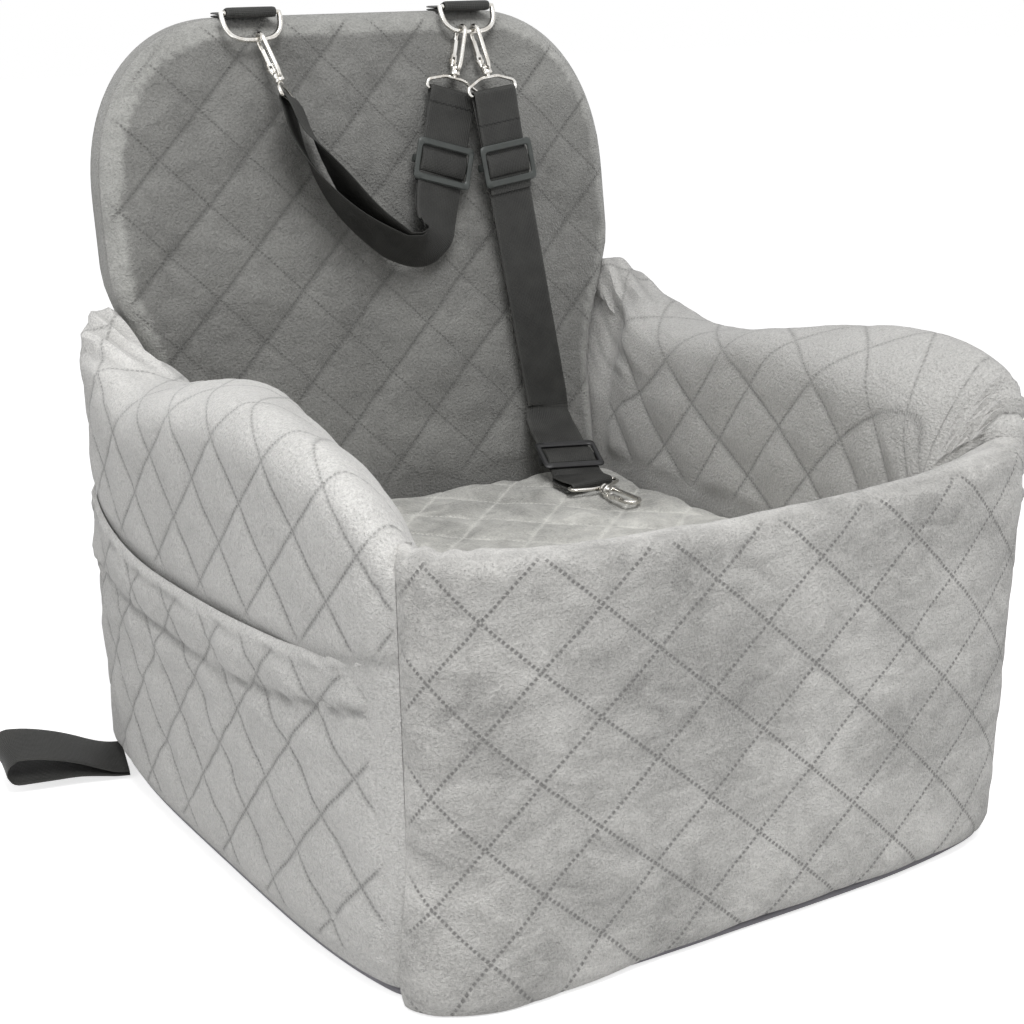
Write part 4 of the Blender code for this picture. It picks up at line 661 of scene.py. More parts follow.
# Routes of the webbing: rows of centre, width direction and face direction
def spread(rows, spacing=None, parts=1):
    """Rows of numbers drawn as one smooth curve: spacing apart, or so many parts to a span."""
    rows = np.array(rows)
    ends = np.vstack([2 * rows[0] - rows[1], rows, 2 * rows[-1] - rows[-2]])
    out = []
    for k in range(len(rows) - 1):
        p0, p1, p2, p3 = ends[k:k + 4]
        if spacing:
            parts = max(1, int(round(np.linalg.norm((p2 - p1)[:3]) / spacing)))
        for t in np.arange(parts) / parts:
            out.append(0.5 * (2 * p1 + (p2 - p0) * t + (2 * p0 - 5 * p1 + 4 * p2 - p3) * t**2
                              + (3 * p1 - p0 - 3 * p2 + p3) * t**3))
    out.append(rows[-1])
    return np.array(out)


def thinned(rows):
    """Rows of a route, less those on straight stretches that follow the last one closely."""
    out = [rows[0]]
    for here, after in zip(rows[1:-1], rows[2:]):
        step, onward = here[:3] - out[-1][:3], after[:3] - here[:3]
        if np.linalg.norm(step) > THIN_SPACING or unit(step) @ unit(onward) < THIN_BEND:
            out.append(here)
    return np.array([*out, rows[-1]])


def rounded(rows, places):
    """Rows of numbers rounded to so many decimal places."""
    return np.array([[round(number, places) for number in row] for row in rows.tolist()])


def lengths_along(points):
    """How far along a path each of its points is."""
    steps = np.linalg.norm(np.diff(points, axis=0), axis=1)
    return np.concatenate([[0], np.cumsum(steps)])


def straight_run(start, down, length, parts):
    """Even places along a straight run of webbing."""
    return [start + down * (length * number / parts) for number in range(parts + 1)]


def turn_round(centre, width, face, onward, radius, steps):
    """Stations of webbing that passes round a bar from its face side to the other side."""
    rows = []
    for angle in np.linspace(0, math.pi, steps + 1):
        out = face * math.cos(angle) + onward * math.sin(angle)
        rows.append(np.concatenate([centre + out * radius, width, out]))
    return rows


def doubled_webbing(points, hints, open_by, first_lap, last_lap):
    """Webbing folded round the bars at a route's two ends, with one unbroken layer from
    bar to bar. Its ends lap back from the first and the last bar by the two lengths."""
    index = np.arange(len(points))
    before = points[np.maximum(index - 1, 0)]
    after = points[np.minimum(index + 1, len(points) - 1)]
    along = unit(after - before)
    width = unit(hints - along * np.sum(hints * along, axis=1, keepdims=True))
    face = unit(np.cross(width, along))
    way = lengths_along(points)
    total = way[-1]
    close = (WEB_THICKNESS + WEB_LAYER_GAP) / 2
    bar_radius = EYE_WIRE / 2 + GAP + WEB_THICKNESS / 2
    near_first = smooth(1 - (way - EYE_WIRE) / SEWN_END)
    near_last = smooth(1 - (total - way - EYE_WIRE) / SEWN_END)
    bow = np.maximum(np.sin(math.pi * np.minimum(way / (OPENING_SHARE * total), 1)), 0)
    apart = close + (bar_radius - close) * np.maximum(near_first, near_last) + open_by * bow

    def layer(side, low, high):
        rows = np.hstack([points + side * face * apart[:, None], width, side * face])
        return rows[(way >= low) & (way <= high)]

    skip = EYE_WIRE / 2
    return np.vstack([
        layer(-1, skip, first_lap)[::-1],
        turn_round(points[0], width[0], -face[0], -along[0], bar_radius, 8),
        layer(1, skip, total - skip),
        turn_round(points[-1], width[-1], face[-1], along[-1], bar_radius, 8),
        layer(-1, total - last_lap, total - skip)[::-1],
    ])


def back_face_y(z):
    """The backrest's front face: upright below its bend, leaning back above it."""
    return BACK_FACE_Y + np.maximum(0, z - BACK_BEND_Z) * BACK_LEAN


def headrest_route():
    """The strap between the two rings, and where its slider lies."""
    left, right = HOOKS["headrest_left_hook"], HOOKS["headrest_right_hook"]
    places = [(*place, 1.0) for place in straight_run(left.bar, -left.up, EYE_DROP, 2)]
    span = right.bar[0] - left.bar[0]
    level = max(left.bar[2], right.bar[2])
    for along, drop, standoff, twist in HEADREST_ROUTE_SHARES:
        z = level - HEADREST_DROP * drop
        y = back_face_y(z) - 2 * QUILT_RISE - HEADREST_STANDOFF * standoff
        places.append((left.bar[0] + span * along, y, z, twist))
    run = straight_run(right.bar, -right.up, HEADREST_RUN, 4)
    places += [(*place, 0.0) for place in reversed(run)]
    rows = spread(places, parts=3)
    points = rows[:, :3]
    angle = math.pi / 2 * np.clip(rows[:, 3:], 0, 1)
    hints = right.eye[0] * np.cos(angle) + left.eye[0] * np.sin(angle)
    length = lengths_along(points)[-1]
    first_lap = length - SLIDER_DROP + SLIDER_HEIGHT / 2 + WEB_END
    stations = doubled_webbing(points, hints, HEADREST_OPENING, first_lap, SEWN_END)
    slider_place = right.bar - right.up * SLIDER_DROP
    return stations, {"headrest_slider": (slider_place, axes(right.eye[0], right.up))}


def lead_route():
    """The lead from the right ring to its free hook, and where its two sliders lie."""
    top, dog = HOOKS["lead_ring_hook"], HOOKS["lead_dog_hook"]
    down = -unit(LEAD_RUN_UP)
    places = straight_run(top.bar, down, LEAD_RUN, 8)
    rows = len(places)
    start = places[-1]
    move = dog.bar - start
    for side, fall, forward in LEAD_ROUTE_SHARES:
        places.append(start + move * np.array((side, forward, fall)))
    high, low = (places[rows + row] for row in LEAD_STRAIGHT_ROWS)
    turn_start, turn_end = rows + LEAD_STRAIGHT_ROWS[1], len(places)
    places += reversed(straight_run(dog.bar, -dog.up, EYE_DROP, 2))
    per_span = 4
    points = spread(places, parts=per_span)
    turn = smooth((np.arange(len(points)) / per_span - turn_start) / (turn_end - turn_start))
    hints = top.eye[0] + turn[:, None] * (dog.eye[0] - top.eye[0])
    middle = low + LEAD_SLIDER_SHARE * (high - low)
    nearest = int(np.argmin(np.linalg.norm(points - middle, axis=1)))
    upper_lap = SLIDER_DROP + SLIDER_HEIGHT / 2 + WEB_END
    lower_lap = lengths_along(points[nearest:])[-1] + SLIDER_HEIGHT / 2 + WEB_END
    return doubled_webbing(points, hints, 0.0, upper_lap, lower_lap), {
        "lead_upper_slider": (top.bar + down * SLIDER_DROP, axes(top.eye[0], -down)),
        "lead_lower_slider": (middle, axes(hints[nearest], high - low)),
    }


def ring_tab_route(bar):
    """Webbing sewn to the backrest's top and folded round a ring's bar."""
    radius = RING_WIRE / 2 + GAP + WEB_THICKNESS / 2
    flat = BACK_TOP + GAP + WEB_THICKNESS / 2
    upper = flat + WEB_THICKNESS + WEB_LAYER_GAP
    tail = back_face_y(BACK_TOP) + BACK_EDGE + TAB_TAIL
    near = bar[1] + 4 * radius
    return np.array([
        (bar[0], tail, upper, *ACROSS, *UPWARD), (bar[0], near, upper, *ACROSS, *UPWARD),
        *turn_round(bar, ACROSS, UPWARD, FORWARD, radius, 10),
        (bar[0], near, flat, *ACROSS, *-UPWARD), (bar[0], tail, flat, *ACROSS, *-UPWARD),
    ])


def tether_route():
    """A flat loop of webbing beside the rear left corner, near the floor."""
    root_y = HALF_DEPTH - TETHER_SET
    root_x = -(HALF_WIDTH + side_bulge((root_y + HALF_DEPTH) / (2 * HALF_DEPTH)) + SEAM_GAP)
    width = np.array((0, math.cos(TETHER_TILT), math.sin(TETHER_TILT)))
    low = TETHER_FLOOR + WEB_WIDTH / 2 * math.sin(TETHER_TILT) + WEB_THICKNESS
    half = TETHER_HEIGHT / 2
    layer = WEB_THICKNESS + WEB_LAYER_GAP
    reach = TETHER_LENGTH - half
    count = 9
    # Each station: how far out, how high, and the way its face looks on X and Z
    outline = []
    for out in np.arange(count) / count * reach:
        outline.append((out, layer + (TETHER_HEIGHT - layer) * smooth(out / reach), 0, 1))
    for angle in np.linspace(math.pi / 2, -math.pi / 2, 9):
        bend = math.cos(angle), math.sin(angle)
        outline.append((reach + half * bend[0], half + half * bend[1], -bend[0], bend[1]))
    for out in np.arange(count)[::-1] / count * reach:
        outline.append((out, 0, 0, -1))
    out, z, face_x, face_z = np.array(outline).T
    rise = TETHER_LIFT * smooth(2 * out / TETHER_LENGTH)
    y = root_y + TETHER_SWEEP * out / TETHER_LENGTH
    centre = np.stack([root_x - out, y, low + z + rise], -1)
    index = np.arange(len(centre))
    along = unit(centre[np.minimum(index + 1, len(centre) - 1)] - centre[np.maximum(index - 1, 0)])
    across = unit(width - along * (along @ width)[:, None])
    normal = unit(np.cross(along, across))
    side = np.where(normal[:, 0] * face_x + normal[:, 2] * face_z < 0, -1, 1)
    return np.hstack([centre, across, normal * side[:, None]])


# Padded walls
def side_bulge(share):
    return 0.020 * (1 - np.abs(2 * share - 1) ** 4)


def front_bulge(share):
    return 0.030 * (1 - np.abs(share) ** 4) * (1 - 0.3 * share)


def flare(z):
    return 0.030 * (z - BOTTOM)


def seam_draw(distance):
    return 0.003 * np.maximum(0, 1 - distance / 0.030) ** 2


def hem_draw(z):
    return 0.004 * np.maximum(0, 1 - (z - BOTTOM) / 0.012)


def side_skin(y):
    ends = np.minimum(y + HALF_DEPTH, HALF_DEPTH - y)
    return seam_draw(ends) - side_bulge((y + HALF_DEPTH) / (2 * HALF_DEPTH))


def arm_top(sign, share):
    return ARM_BASE + ARM_RISE * curve(LEFT_ARM if sign < 0 else RIGHT_ARM, share)


def pocket_mouth(y):
    return curve(POCKET_MOUTH, y)


def stations(low, high):
    """Places from low to high at every cell of the quilting's lattice."""
    first = math.ceil(low / CELL + 0.35)
    last = math.floor(high / CELL - 0.35)
    inner = [k * CELL for k in range(first, last + 1)]
    return np.array([low, *inner, high])


def wall_section(v, outer, inner, top, roll, foot, fullness, tilt):
    """Depth and height along a wall's section: up the outside, over the roll, down the
    inside. v is the way along it, and the arrays hold one column for each station."""
    centre = top - roll
    lip = outer - flare(centre)
    half = (inner - lip) / 2
    theta = np.linspace(0, math.pi, 73)[:, None]

    def arc(angle, k=slice(None)):
        cosine = np.cos(angle)
        share = (1 - np.sign(cosine) * np.abs(cosine) ** fullness) / 2
        fall = tilt[k] * smooth((share - 0.10) / 0.90)
        rise = roll * np.clip(np.sin(angle), 0, 1) ** fullness
        return lip[k] + 2 * half[k] * share, centre[k] + rise - fall

    arc_depth, arc_z = arc(theta)
    steps = np.hypot(np.diff(arc_depth, axis=0), np.diff(arc_z, axis=0))
    length = np.vstack([np.zeros(steps.shape[1]), np.cumsum(steps, axis=0)])
    depth = np.empty((len(v), len(centre)))
    z = np.empty_like(depth)
    over = np.empty_like(depth)
    for k in range(len(centre)):
        way = v - centre[k]
        round_it = np.interp(way, length[:, k], theta[:, 0])
        arc_in, arc_up = arc(round_it, k)
        down = way - length[-1, k]
        straight = inner[k] + (foot[k] - inner[k]) * smooth(down / 0.07)
        depth[:, k] = np.where(
            way < 0, outer[k] + hem_draw(v) - flare(v), np.where(down < 0, arc_in, straight)
        )
        z[:, k] = np.where(way < 0, v, np.where(down < 0, arc_up, centre[k] - tilt[k] - down))
        over[:, k] = way / length[-1, k]
    return depth, np.maximum(z, BOTTOM + 0.004), over


def raised(points, relief, outside, out):
    """A wall's skin raised by its relief, out being the way that its outside looks."""
    normal = normals_of(points)
    lean = np.sign(np.sum((normal @ out)[outside]))
    points = points + normal * lean * relief[:, :, None]
    points[:, :, 2] = np.maximum(points[:, :, 2], BOTTOM)
    return points


def close_wall(points, uv, marks, relief):
    """Bottom row and end caps that make a grid of a wall's skin a closed form."""
    rows, columns = points.shape[:2]
    sole = points[-1].copy()
    sole[:, 2] = BOTTOM
    points = np.concatenate([points, sole[None]])
    uv = np.concatenate([uv, uv[-1:]])
    marks = np.concatenate([marks, marks[-1:] * 0])
    relief = np.concatenate([relief, relief[-1:]])
    faces = grid_faces(rows + 1, columns, relief)
    index = np.arange((rows + 1) * columns).reshape(rows + 1, columns)
    first, last = index[0].tolist(), index[-1].tolist()
    faces += [(first[k], last[k], last[k + 1], first[k + 1]) for k in range(columns - 1)]
    faces.append(index[:, 0].tolist())
    faces.append(index[::-1, -1].tolist())
    return points.reshape(-1, 3), faces, uv.reshape(-1, 2), marks.reshape(-1, 2)


def wall_piece(name, finish, points, uv, marks, relief):
    """A wall's skin closed and made a piece."""
    points, faces, uv, marks = close_wall(points, uv, marks, relief)
    piece = add_piece(name, points, faces, finish, "seat", uv, marks)
    return piece


def side_wall(sign, name):
    """A side wall's padded cover: quilted arm with a wavy rolled top."""
    y = stations(-HALF_DEPTH, HALF_DEPTH)
    y = np.unique(np.concatenate([y, HALF_DEPTH - np.array((0.0003, 0.0012, 0.0026))]))
    v = np.concatenate([[BOTTOM, 0.0065], np.arange(2, 131) * CELL])
    share = (y + HALF_DEPTH) / (2 * HALF_DEPTH)
    top = arm_top(sign, share) + 0.008 * smooth((y - 0.195) / 0.035)
    outer = side_skin(y)
    inner = SIDE_INNER - 0.020 * smooth((y - 0.145) / 0.05)
    tilt = 0.024 * smooth((0.01 - y) / 0.16)
    foot = np.full_like(y, SIDE_INNER)
    depth, z, over = wall_section(v, outer, inner, top, SIDE_ROLL, foot, 0.85, tilt)
    along, way = np.meshgrid(y, v)
    end = np.meshgrid(1 - share, v)[0]
    points = np.stack([sign * (HALF_WIDTH - depth), along + (depth + 0.00025) * end, z], -1)
    outside = over < 0
    inside = over > 1
    along = along + np.maximum(0, depth - depth[0]) * end
    mouth = pocket_mouth(along)
    show = np.where(outside, smooth((way - mouth - 0.002) / 0.010), 1.0)
    bare = smooth((z - SEAT_EDGE_Z) / 0.012) * (1 - smooth((along - 0.176) / 0.010))
    show = np.where(inside, bare, show)
    show = show * smooth((HALF_DEPTH - along) / 0.012) * smooth((along + HALF_DEPTH) / 0.009)
    rolled = smooth((over + 0.12) / 0.25) * smooth((1.15 - over) / 0.25)
    swell = (0.0032 - 0.0024 * rolled) * puff(along, way) * show
    loose = smooth((z - SEAT_CLEAR_Z) / 0.02) * (1 - smooth((along - 0.165) / 0.02))
    free = np.where(inside, loose, 1.0)
    free = free * np.where(outside, smooth((way - mouth) / 0.02), 1.0)
    crumple = 0.0006 * ripple(along, way, 0.060, 1.7 + sign) + 0.00022 * ripple(along, way, 0.021, 4.1)
    # Gathers where the arm's cloth is drawn in beside the backrest and at the front corner
    rear = gauss(along - 0.200, 0.042) * smooth((z - 0.24) / 0.03)
    folds = np.sin(way * math.tau / 0.019 + 30 * along + np.sin(way * 90))
    rear = rear * smooth((over + 0.05) / 0.30)
    crumple = crumple + (0.0036 if sign < 0 else 0.0020) * rear * folds
    front_end = smooth((-0.195 - along) / 0.035) * smooth((z - 0.22) / 0.03)
    tuck = 0.0010 if sign < 0 else 0.0028
    crumple = crumple + tuck * front_end * np.sin(along * math.tau / 0.013 + 60 * z + 20 * over)
    crumple = crumple * smooth((along + HALF_DEPTH) / 0.012) * smooth((HALF_DEPTH - along) / 0.008)
    crumple = crumple * smooth((way - BOTTOM) / 0.02)
    rounding = 0.009 * (1 - dome((HALF_DEPTH - along) / 0.009))
    relief = swell + crumple * free - rounding
    points = raised(points, relief, outside, sign * ACROSS)
    uv = np.stack([along, way], -1)
    # Painted light and shade: a painted highlight along the rolled top, weaker on the right wall,
    # which is painted darker all over; painted shade in the rear gathers' folds and just above the
    # pocket's mouth
    painted_light_and_shade = smooth(1.3 - np.abs(over - 0.45) * 2.0)
    painted_light_and_shade = 0.75 * painted_light_and_shade if sign < 0 else 0.30 * painted_light_and_shade - 0.30
    painted_light_and_shade = painted_light_and_shade - 0.7 * rear * smooth(-folds)
    painted_light_and_shade = painted_light_and_shade - 0.8 * gauss(way - mouth - 0.001, 0.0035) * outside
    marks = np.stack([np.clip(show * 1.2, 0, 1) * (1 - 0.35 * rolled), painted_light_and_shade], -1)
    return wall_piece(name, "side", points, uv, marks, relief)


def front_wall():
    """The front wall's padded cover, bowed outward, with a plain rolled rim."""
    x = stations(-HALF_WIDTH, HALF_WIDTH)
    v = np.concatenate([[BOTTOM, 0.0065], np.arange(2, 124) * CELL])
    share = x / HALF_WIDTH
    top = ARM_BASE - 0.010 * (1 - share**2)
    outer = seam_draw(HALF_WIDTH - np.abs(x)) - front_bulge(share)
    inner = FRONT_INNER - 0.020 * (1 - share**2)
    tilt = np.full_like(x, 0.024)
    depth, z, over = wall_section(v, outer, inner, top, FRONT_ROLL, inner, 0.55, tilt)
    across, way = np.meshgrid(x, v)
    side = np.meshgrid(share, v)[0]
    points = np.stack([across - (depth + 0.00025) * side, -HALF_DEPTH + depth, z], -1)
    outside = over < 0
    inside = over > 1
    show = np.where(over < 0.5, smooth((0.16 - over) / 0.06), 0.0)
    show = np.where(inside, smooth((z - SEAT_EDGE_Z) / 0.012), show)
    show = show * smooth((HALF_WIDTH - np.abs(across)) / 0.010)
    swell = 0.0011 * puff(across, way) * show
    edge = gauss(over - 0.20, 0.035)
    free = np.where(inside, smooth((z - SEAT_CLEAR_Z) / 0.02), 1.0)
    crumple = 0.0006 * ripple(across, way, 0.070, 0.6) + 0.0003 * ripple(across, way, 0.024, 2.2)
    crumple = crumple * smooth((HALF_WIDTH - np.abs(across)) / 0.012)
    # Gathers at the left end, and a fuller foot under them
    left_end = smooth((-0.150 - across) / 0.06) * smooth((z - 0.205) / 0.03)
    left_end = left_end * smooth((HALF_WIDTH + across) / 0.012)
    folds = np.sin(across * math.tau / 0.019 + 50 * z + np.sin(z * 120))
    crumple = crumple + 0.0016 * left_end * folds
    fuller = 0.009 * smooth((-0.060 - across) / 0.12) * gauss(way - 0.02, 0.05) * outside
    crumple = crumple * smooth((way - BOTTOM) / 0.02)
    relief = swell + crumple * free - 0.0009 * edge + fuller
    points = raised(points, relief, outside, FORWARD)
    sag = 0.0036 * smooth((0.02 - across) / 0.12) * smooth((0.035 - way) / 0.03)
    points[:, :, 2] -= np.where(outside, sag, 0)
    uv = np.stack([across, way], -1)
    # Painted highlight from the rim over the inside face, painted shade along the fold at the rim's
    # edge
    painted_light_and_shade = 0.8 * smooth((over - 0.17) / 0.05) - 0.5 * gauss(over - 0.20, 0.02)
    marks = np.stack([np.clip(show * 1.2, 0, 1), painted_light_and_shade], -1)
    return wall_piece("front_wall_padding", "front", points, uv, marks, relief)


# Flat quilted panels of any outline
def even(outline, spacing):
    """The closed outline with its points spacing apart."""
    loop = np.vstack([outline, outline[:1]])
    way = np.concatenate([[0], np.cumsum(np.hypot(*np.diff(loop, axis=0).T))])
    count = int(round(way[-1] / spacing))
    at = np.linspace(0, way[-1], count, endpoint=False)
    return np.stack([np.interp(at, way, loop[:, 0]), np.interp(at, way, loop[:, 1])], -1)


def edge_distance(outline, points):
    """How far each point is from a closed outline."""
    best = np.full(len(points), 1e9)
    for a, b in zip(outline, np.roll(outline, -1, axis=0)):
        run = b - a
        t = np.clip(((points - a) @ run) / max(run @ run, 1e-12), 0, 1)
        best = np.minimum(best, np.hypot(*(points - a - t[:, None] * run).T))
    return best


def within(outline, points):
    inside = np.zeros(len(points), bool)
    for a, b in zip(outline, np.roll(outline, -1, axis=0)):
        cross = (a[1] > points[:, 1]) != (b[1] > points[:, 1])
        at = a[0] + (points[:, 1] - a[1]) * (b[0] - a[0]) / ((b[1] - a[1]) or 1e-12)
        inside ^= cross & (points[:, 0] < at)
    return inside


def panel(outline, cell=CELL, height=None):
    """Points and triangles that fill an outline, and how far each point is from it. The
    outline's own points come first, then lattice points, with the cells split along the
    quilting's creases."""
    low, high = outline.min(0), outline.max(0)
    columns = np.arange(math.ceil(low[0] / cell), math.floor(high[0] / cell) + 1)
    rows = np.arange(math.ceil(low[1] / cell), math.floor(high[1] / cell) + 1)
    i, j = (g.ravel() for g in np.meshgrid(columns, rows))
    grid = np.stack([i, j], -1) * cell
    keep = within(outline, grid)
    keep[keep] = edge_distance(outline, grid[keep]) > 0.6 * cell
    number = {(int(a), int(b)): k + len(outline) for k, (a, b) in enumerate(zip(i[keep], j[keep]))}
    points = np.vstack([outline, grid[keep]])
    # Edges that the triangles must keep, so that they follow the cells
    edges = []
    for (a, b), k in number.items():
        corners = [number.get(c) for c in ((a + 1, b), (a + 1, b + 1), (a, b + 1))]
        if None in corners:
            continue
        east, far, north = corners
        edges += [(k, east), (k, north)]
        if height is None:
            edges.append((k, far))
            continue
        heights = height(*points[[k, far, east, north]].T)
        low_way = heights[0] + heights[1] <= heights[2] + heights[3]
        edges.append((k, far) if low_way else (east, north))
    rim = len(outline)
    out = delaunay_2d_cdt([Vector(p) for p in points.tolist()], edges, [list(range(rim))], 1, 1e-7)
    filled = np.array([tuple(p) for p in out[0]])
    inset = np.zeros(len(filled))
    inset[rim:] = edge_distance(outline, filled[rim:])
    return filled, [tuple(f) for f in out[2]], inset


def backrest():
    """The backrest: quilted front, a plain strip round its edge and a smooth back."""
    right = [(0.1872, 0.0046), (0.1875, 0.02)]
    right += [(0.1875, z) for z in np.linspace(0.05, 0.255, 10)]
    right += [(0.1887, 0.270), (0.1920, 0.287), (0.1968, 0.304), (0.2025, 0.321), (0.2078, 0.336)]
    right += [(0.2122, 0.3485), (0.2155, 0.3600), (0.217, 0.3725)]
    corner_x, corner_z, corner_fullness = 0.112, 0.130, 2 / 2.2
    for angle in np.linspace(0, math.pi / 2, 24):
        right.append((
            0.217 - corner_x + corner_x * math.cos(angle) ** corner_fullness,
            BACK_TOP - corner_z + corner_z * math.sin(angle) ** corner_fullness,
        ))
    outline = np.array(right + [(-x, z) for x, z in reversed(right)])
    outline = even(outline, 0.0045)
    flat, faces, inset = panel(outline, CELL, puff)
    rim = len(outline)
    x, z = flat.T
    rounding = 0.0075 * (1 - dome(inset / 0.014))
    crown = 0.003 * smooth(inset / 0.090)
    show = smooth(inset / 0.012) * smooth((z - 0.188) / 0.012)
    furrow = np.abs(np.sin((x - z) * math.pi / (2 * LATTICE))) ** 0.7
    swell = (0.0022 * furrow + 0.0010 * puff(x, z)) * show
    crumple = 0.0009 * ripple(x, z, 0.085, 3.3) + 0.0005 * ripple(x, z, 0.026, 5.9)
    crumple = crumple * smooth(inset / 0.03) * smooth((z - 0.195) / 0.03)
    points = [np.stack([x, back_face_y(z) + rounding - crown - swell - crumple, z], -1)]
    ring_z = outline[:, 1]
    outward = unit(outline - np.array((0, 0.30)))
    free = smooth((ring_z - 0.36) / 0.02)[:, None]
    start = len(flat)
    bands = [0]
    for depth, proud in (
        (0.0095, 0.0004), (0.0105, -0.0004), (0.0115, 0.0004), (0.0150, 0.0005), (0.0190, 0.0005),
        (0.0230, 0.0004), (0.0262, 0.0002), (0.0272, -0.0004), (0.0282, 0.0001),
    ):
        band_x, band_z = (outline + outward * proud * free).T
        band_z = np.maximum(band_z, 0.0045)
        points.append(np.stack([band_x, back_face_y(ring_z) + depth, band_z], -1))
        bands.append(start)
        start += rim
    plain, back_faces, back_inset = panel(outline, 0.020)
    hollow = 0.0035 * (1 - smooth(back_inset / 0.012))
    plain_x, plain_z = plain.T
    points.append(np.stack([plain_x, back_face_y(plain_z) + BACK_THICKNESS - hollow, plain_z], -1))
    bands.append(start)
    strip = []
    for low, high in zip(bands, bands[1:]):
        for k in range(rim):
            n = (k + 1) % rim
            strip.append((low + k, low + n, high + n, high + k))
    rear = [tuple(start + i for i in reversed(f)) for f in back_faces]
    points = np.vstack(points)
    uv = np.zeros((len(points), 2))
    uv[:len(flat)] = flat
    marks = np.zeros((len(points), 2))
    marks[:len(flat), 0] = np.clip(show * 1.2, 0, 1)
    # Painted highlight on the rounded edge round the quilted face
    marks[:len(flat), 1] = smooth((0.0140 - inset) / 0.0020)
    slots = [0] * len(faces) + [1] * (len(strip) + len(rear))
    piece = add_piece(
        "backrest_padding", points, [*faces, *strip, *rear], "back", "seat", uv, marks, slots,
        extra=("strip",), angle=60,
    )
    return piece


def pocket(sign, name):
    """A side pocket: quilted panel hung on the wall, its mouth sagging open."""
    low, end = 0.0163, 0.228
    y = np.linspace(-end, end, 110)
    mouth = pocket_mouth(y)
    rise = np.linspace(low, mouth[0], 48)[1:-1]
    outline = np.vstack([
        np.stack([y, np.full_like(y, low)], -1),
        np.stack([np.full_like(rise, end), rise], -1),
        np.stack([y[::-1], mouth[::-1]], -1),
        np.stack([np.full_like(rise, -end), rise[::-1]], -1),
    ])
    flat, faces, inset = panel(outline, CELL, puff)
    rim = len(outline)
    u, v = flat.T
    mouth = pocket_mouth(u)
    up = np.clip((v - low) / (mouth - low), 0, 1)
    ends = smooth((HALF_DEPTH - 0.012 - np.abs(u)) / 0.16)
    gape = 0.0028 * up**1.3 * ends
    skin = side_skin(u) - flare(v) - 0.0005 - gape
    hem = mouth - v
    line = v - curve(POCKET_SEAM, u)
    show = smooth(inset / 0.008)
    swell = 0.95 * QUILT_RISE * puff(u, v) * show * (1 - 0.75 * gauss(hem - 0.003, 0.006))
    groove = 0.0024 * gauss(line, 0.0026) - 0.0007 * gauss(line - 0.006, 0.004)
    bead = 0.0009 * gauss(hem - 0.0015, 0.0035) - 0.0007 * gauss(hem - 0.0085, 0.0014)
    drape = 0.0010 * ripple(u, v, 0.060, 2.9 + sign) + 0.0005 * ripple(u, v, 0.024, 5.5)
    drape = drape + 0.0012 * gauss(hem - 0.03, 0.05) * np.sin(v * math.tau / 0.034 + 7 * u)
    relief = swell - groove + bead + drape * smooth(inset / 0.02)
    outer = skin - 0.0025 * dome(inset / 0.003) - np.maximum(relief, -0.0016) * smooth(inset / 0.004)
    front = np.stack([sign * (HALF_WIDTH - outer), u, v], -1)
    back = np.stack([sign * (HALF_WIDTH - skin - 0.0002), u, v], -1)
    strip = [(k, (k + 1) % rim, len(flat) + (k + 1) % rim, len(flat) + k) for k in range(rim)]
    rear = [tuple(len(flat) + i for i in reversed(f)) for f in faces]
    lines = np.clip(show * 1.2, 0, 1) * (1 - gauss(hem - 0.004, 0.005))
    # Painted shade in the sewn groove and under the hem's bead, painted highlight along the bead
    groove_shade = 1.3 * gauss(line, 0.0019) + 0.5 * gauss(hem - 0.0085, 0.0014)
    marks = np.stack([lines, 0.5 * gauss(hem - 0.002, 0.004) - groove_shade], -1)
    piece = add_piece(
        name, np.vstack([front, back]), [*faces, *strip, *rear], "side", "seat",
        np.vstack([flat, flat]), np.vstack([marks, marks * 0]), angle=60,
    )
    return piece


def seat_front(x):
    """The cushion's bowed front edge."""
    return -0.2005 - 0.020 * (1 - np.minimum(1, np.abs(x) / 0.192) ** 2)


def seat_reach(x, y):
    """How far a place on the cushion is from its nearest edge."""
    ends = np.minimum(CUSHION_HALF - y, y - seat_front(x))
    return np.minimum(CUSHION_HALF - np.abs(x), ends)


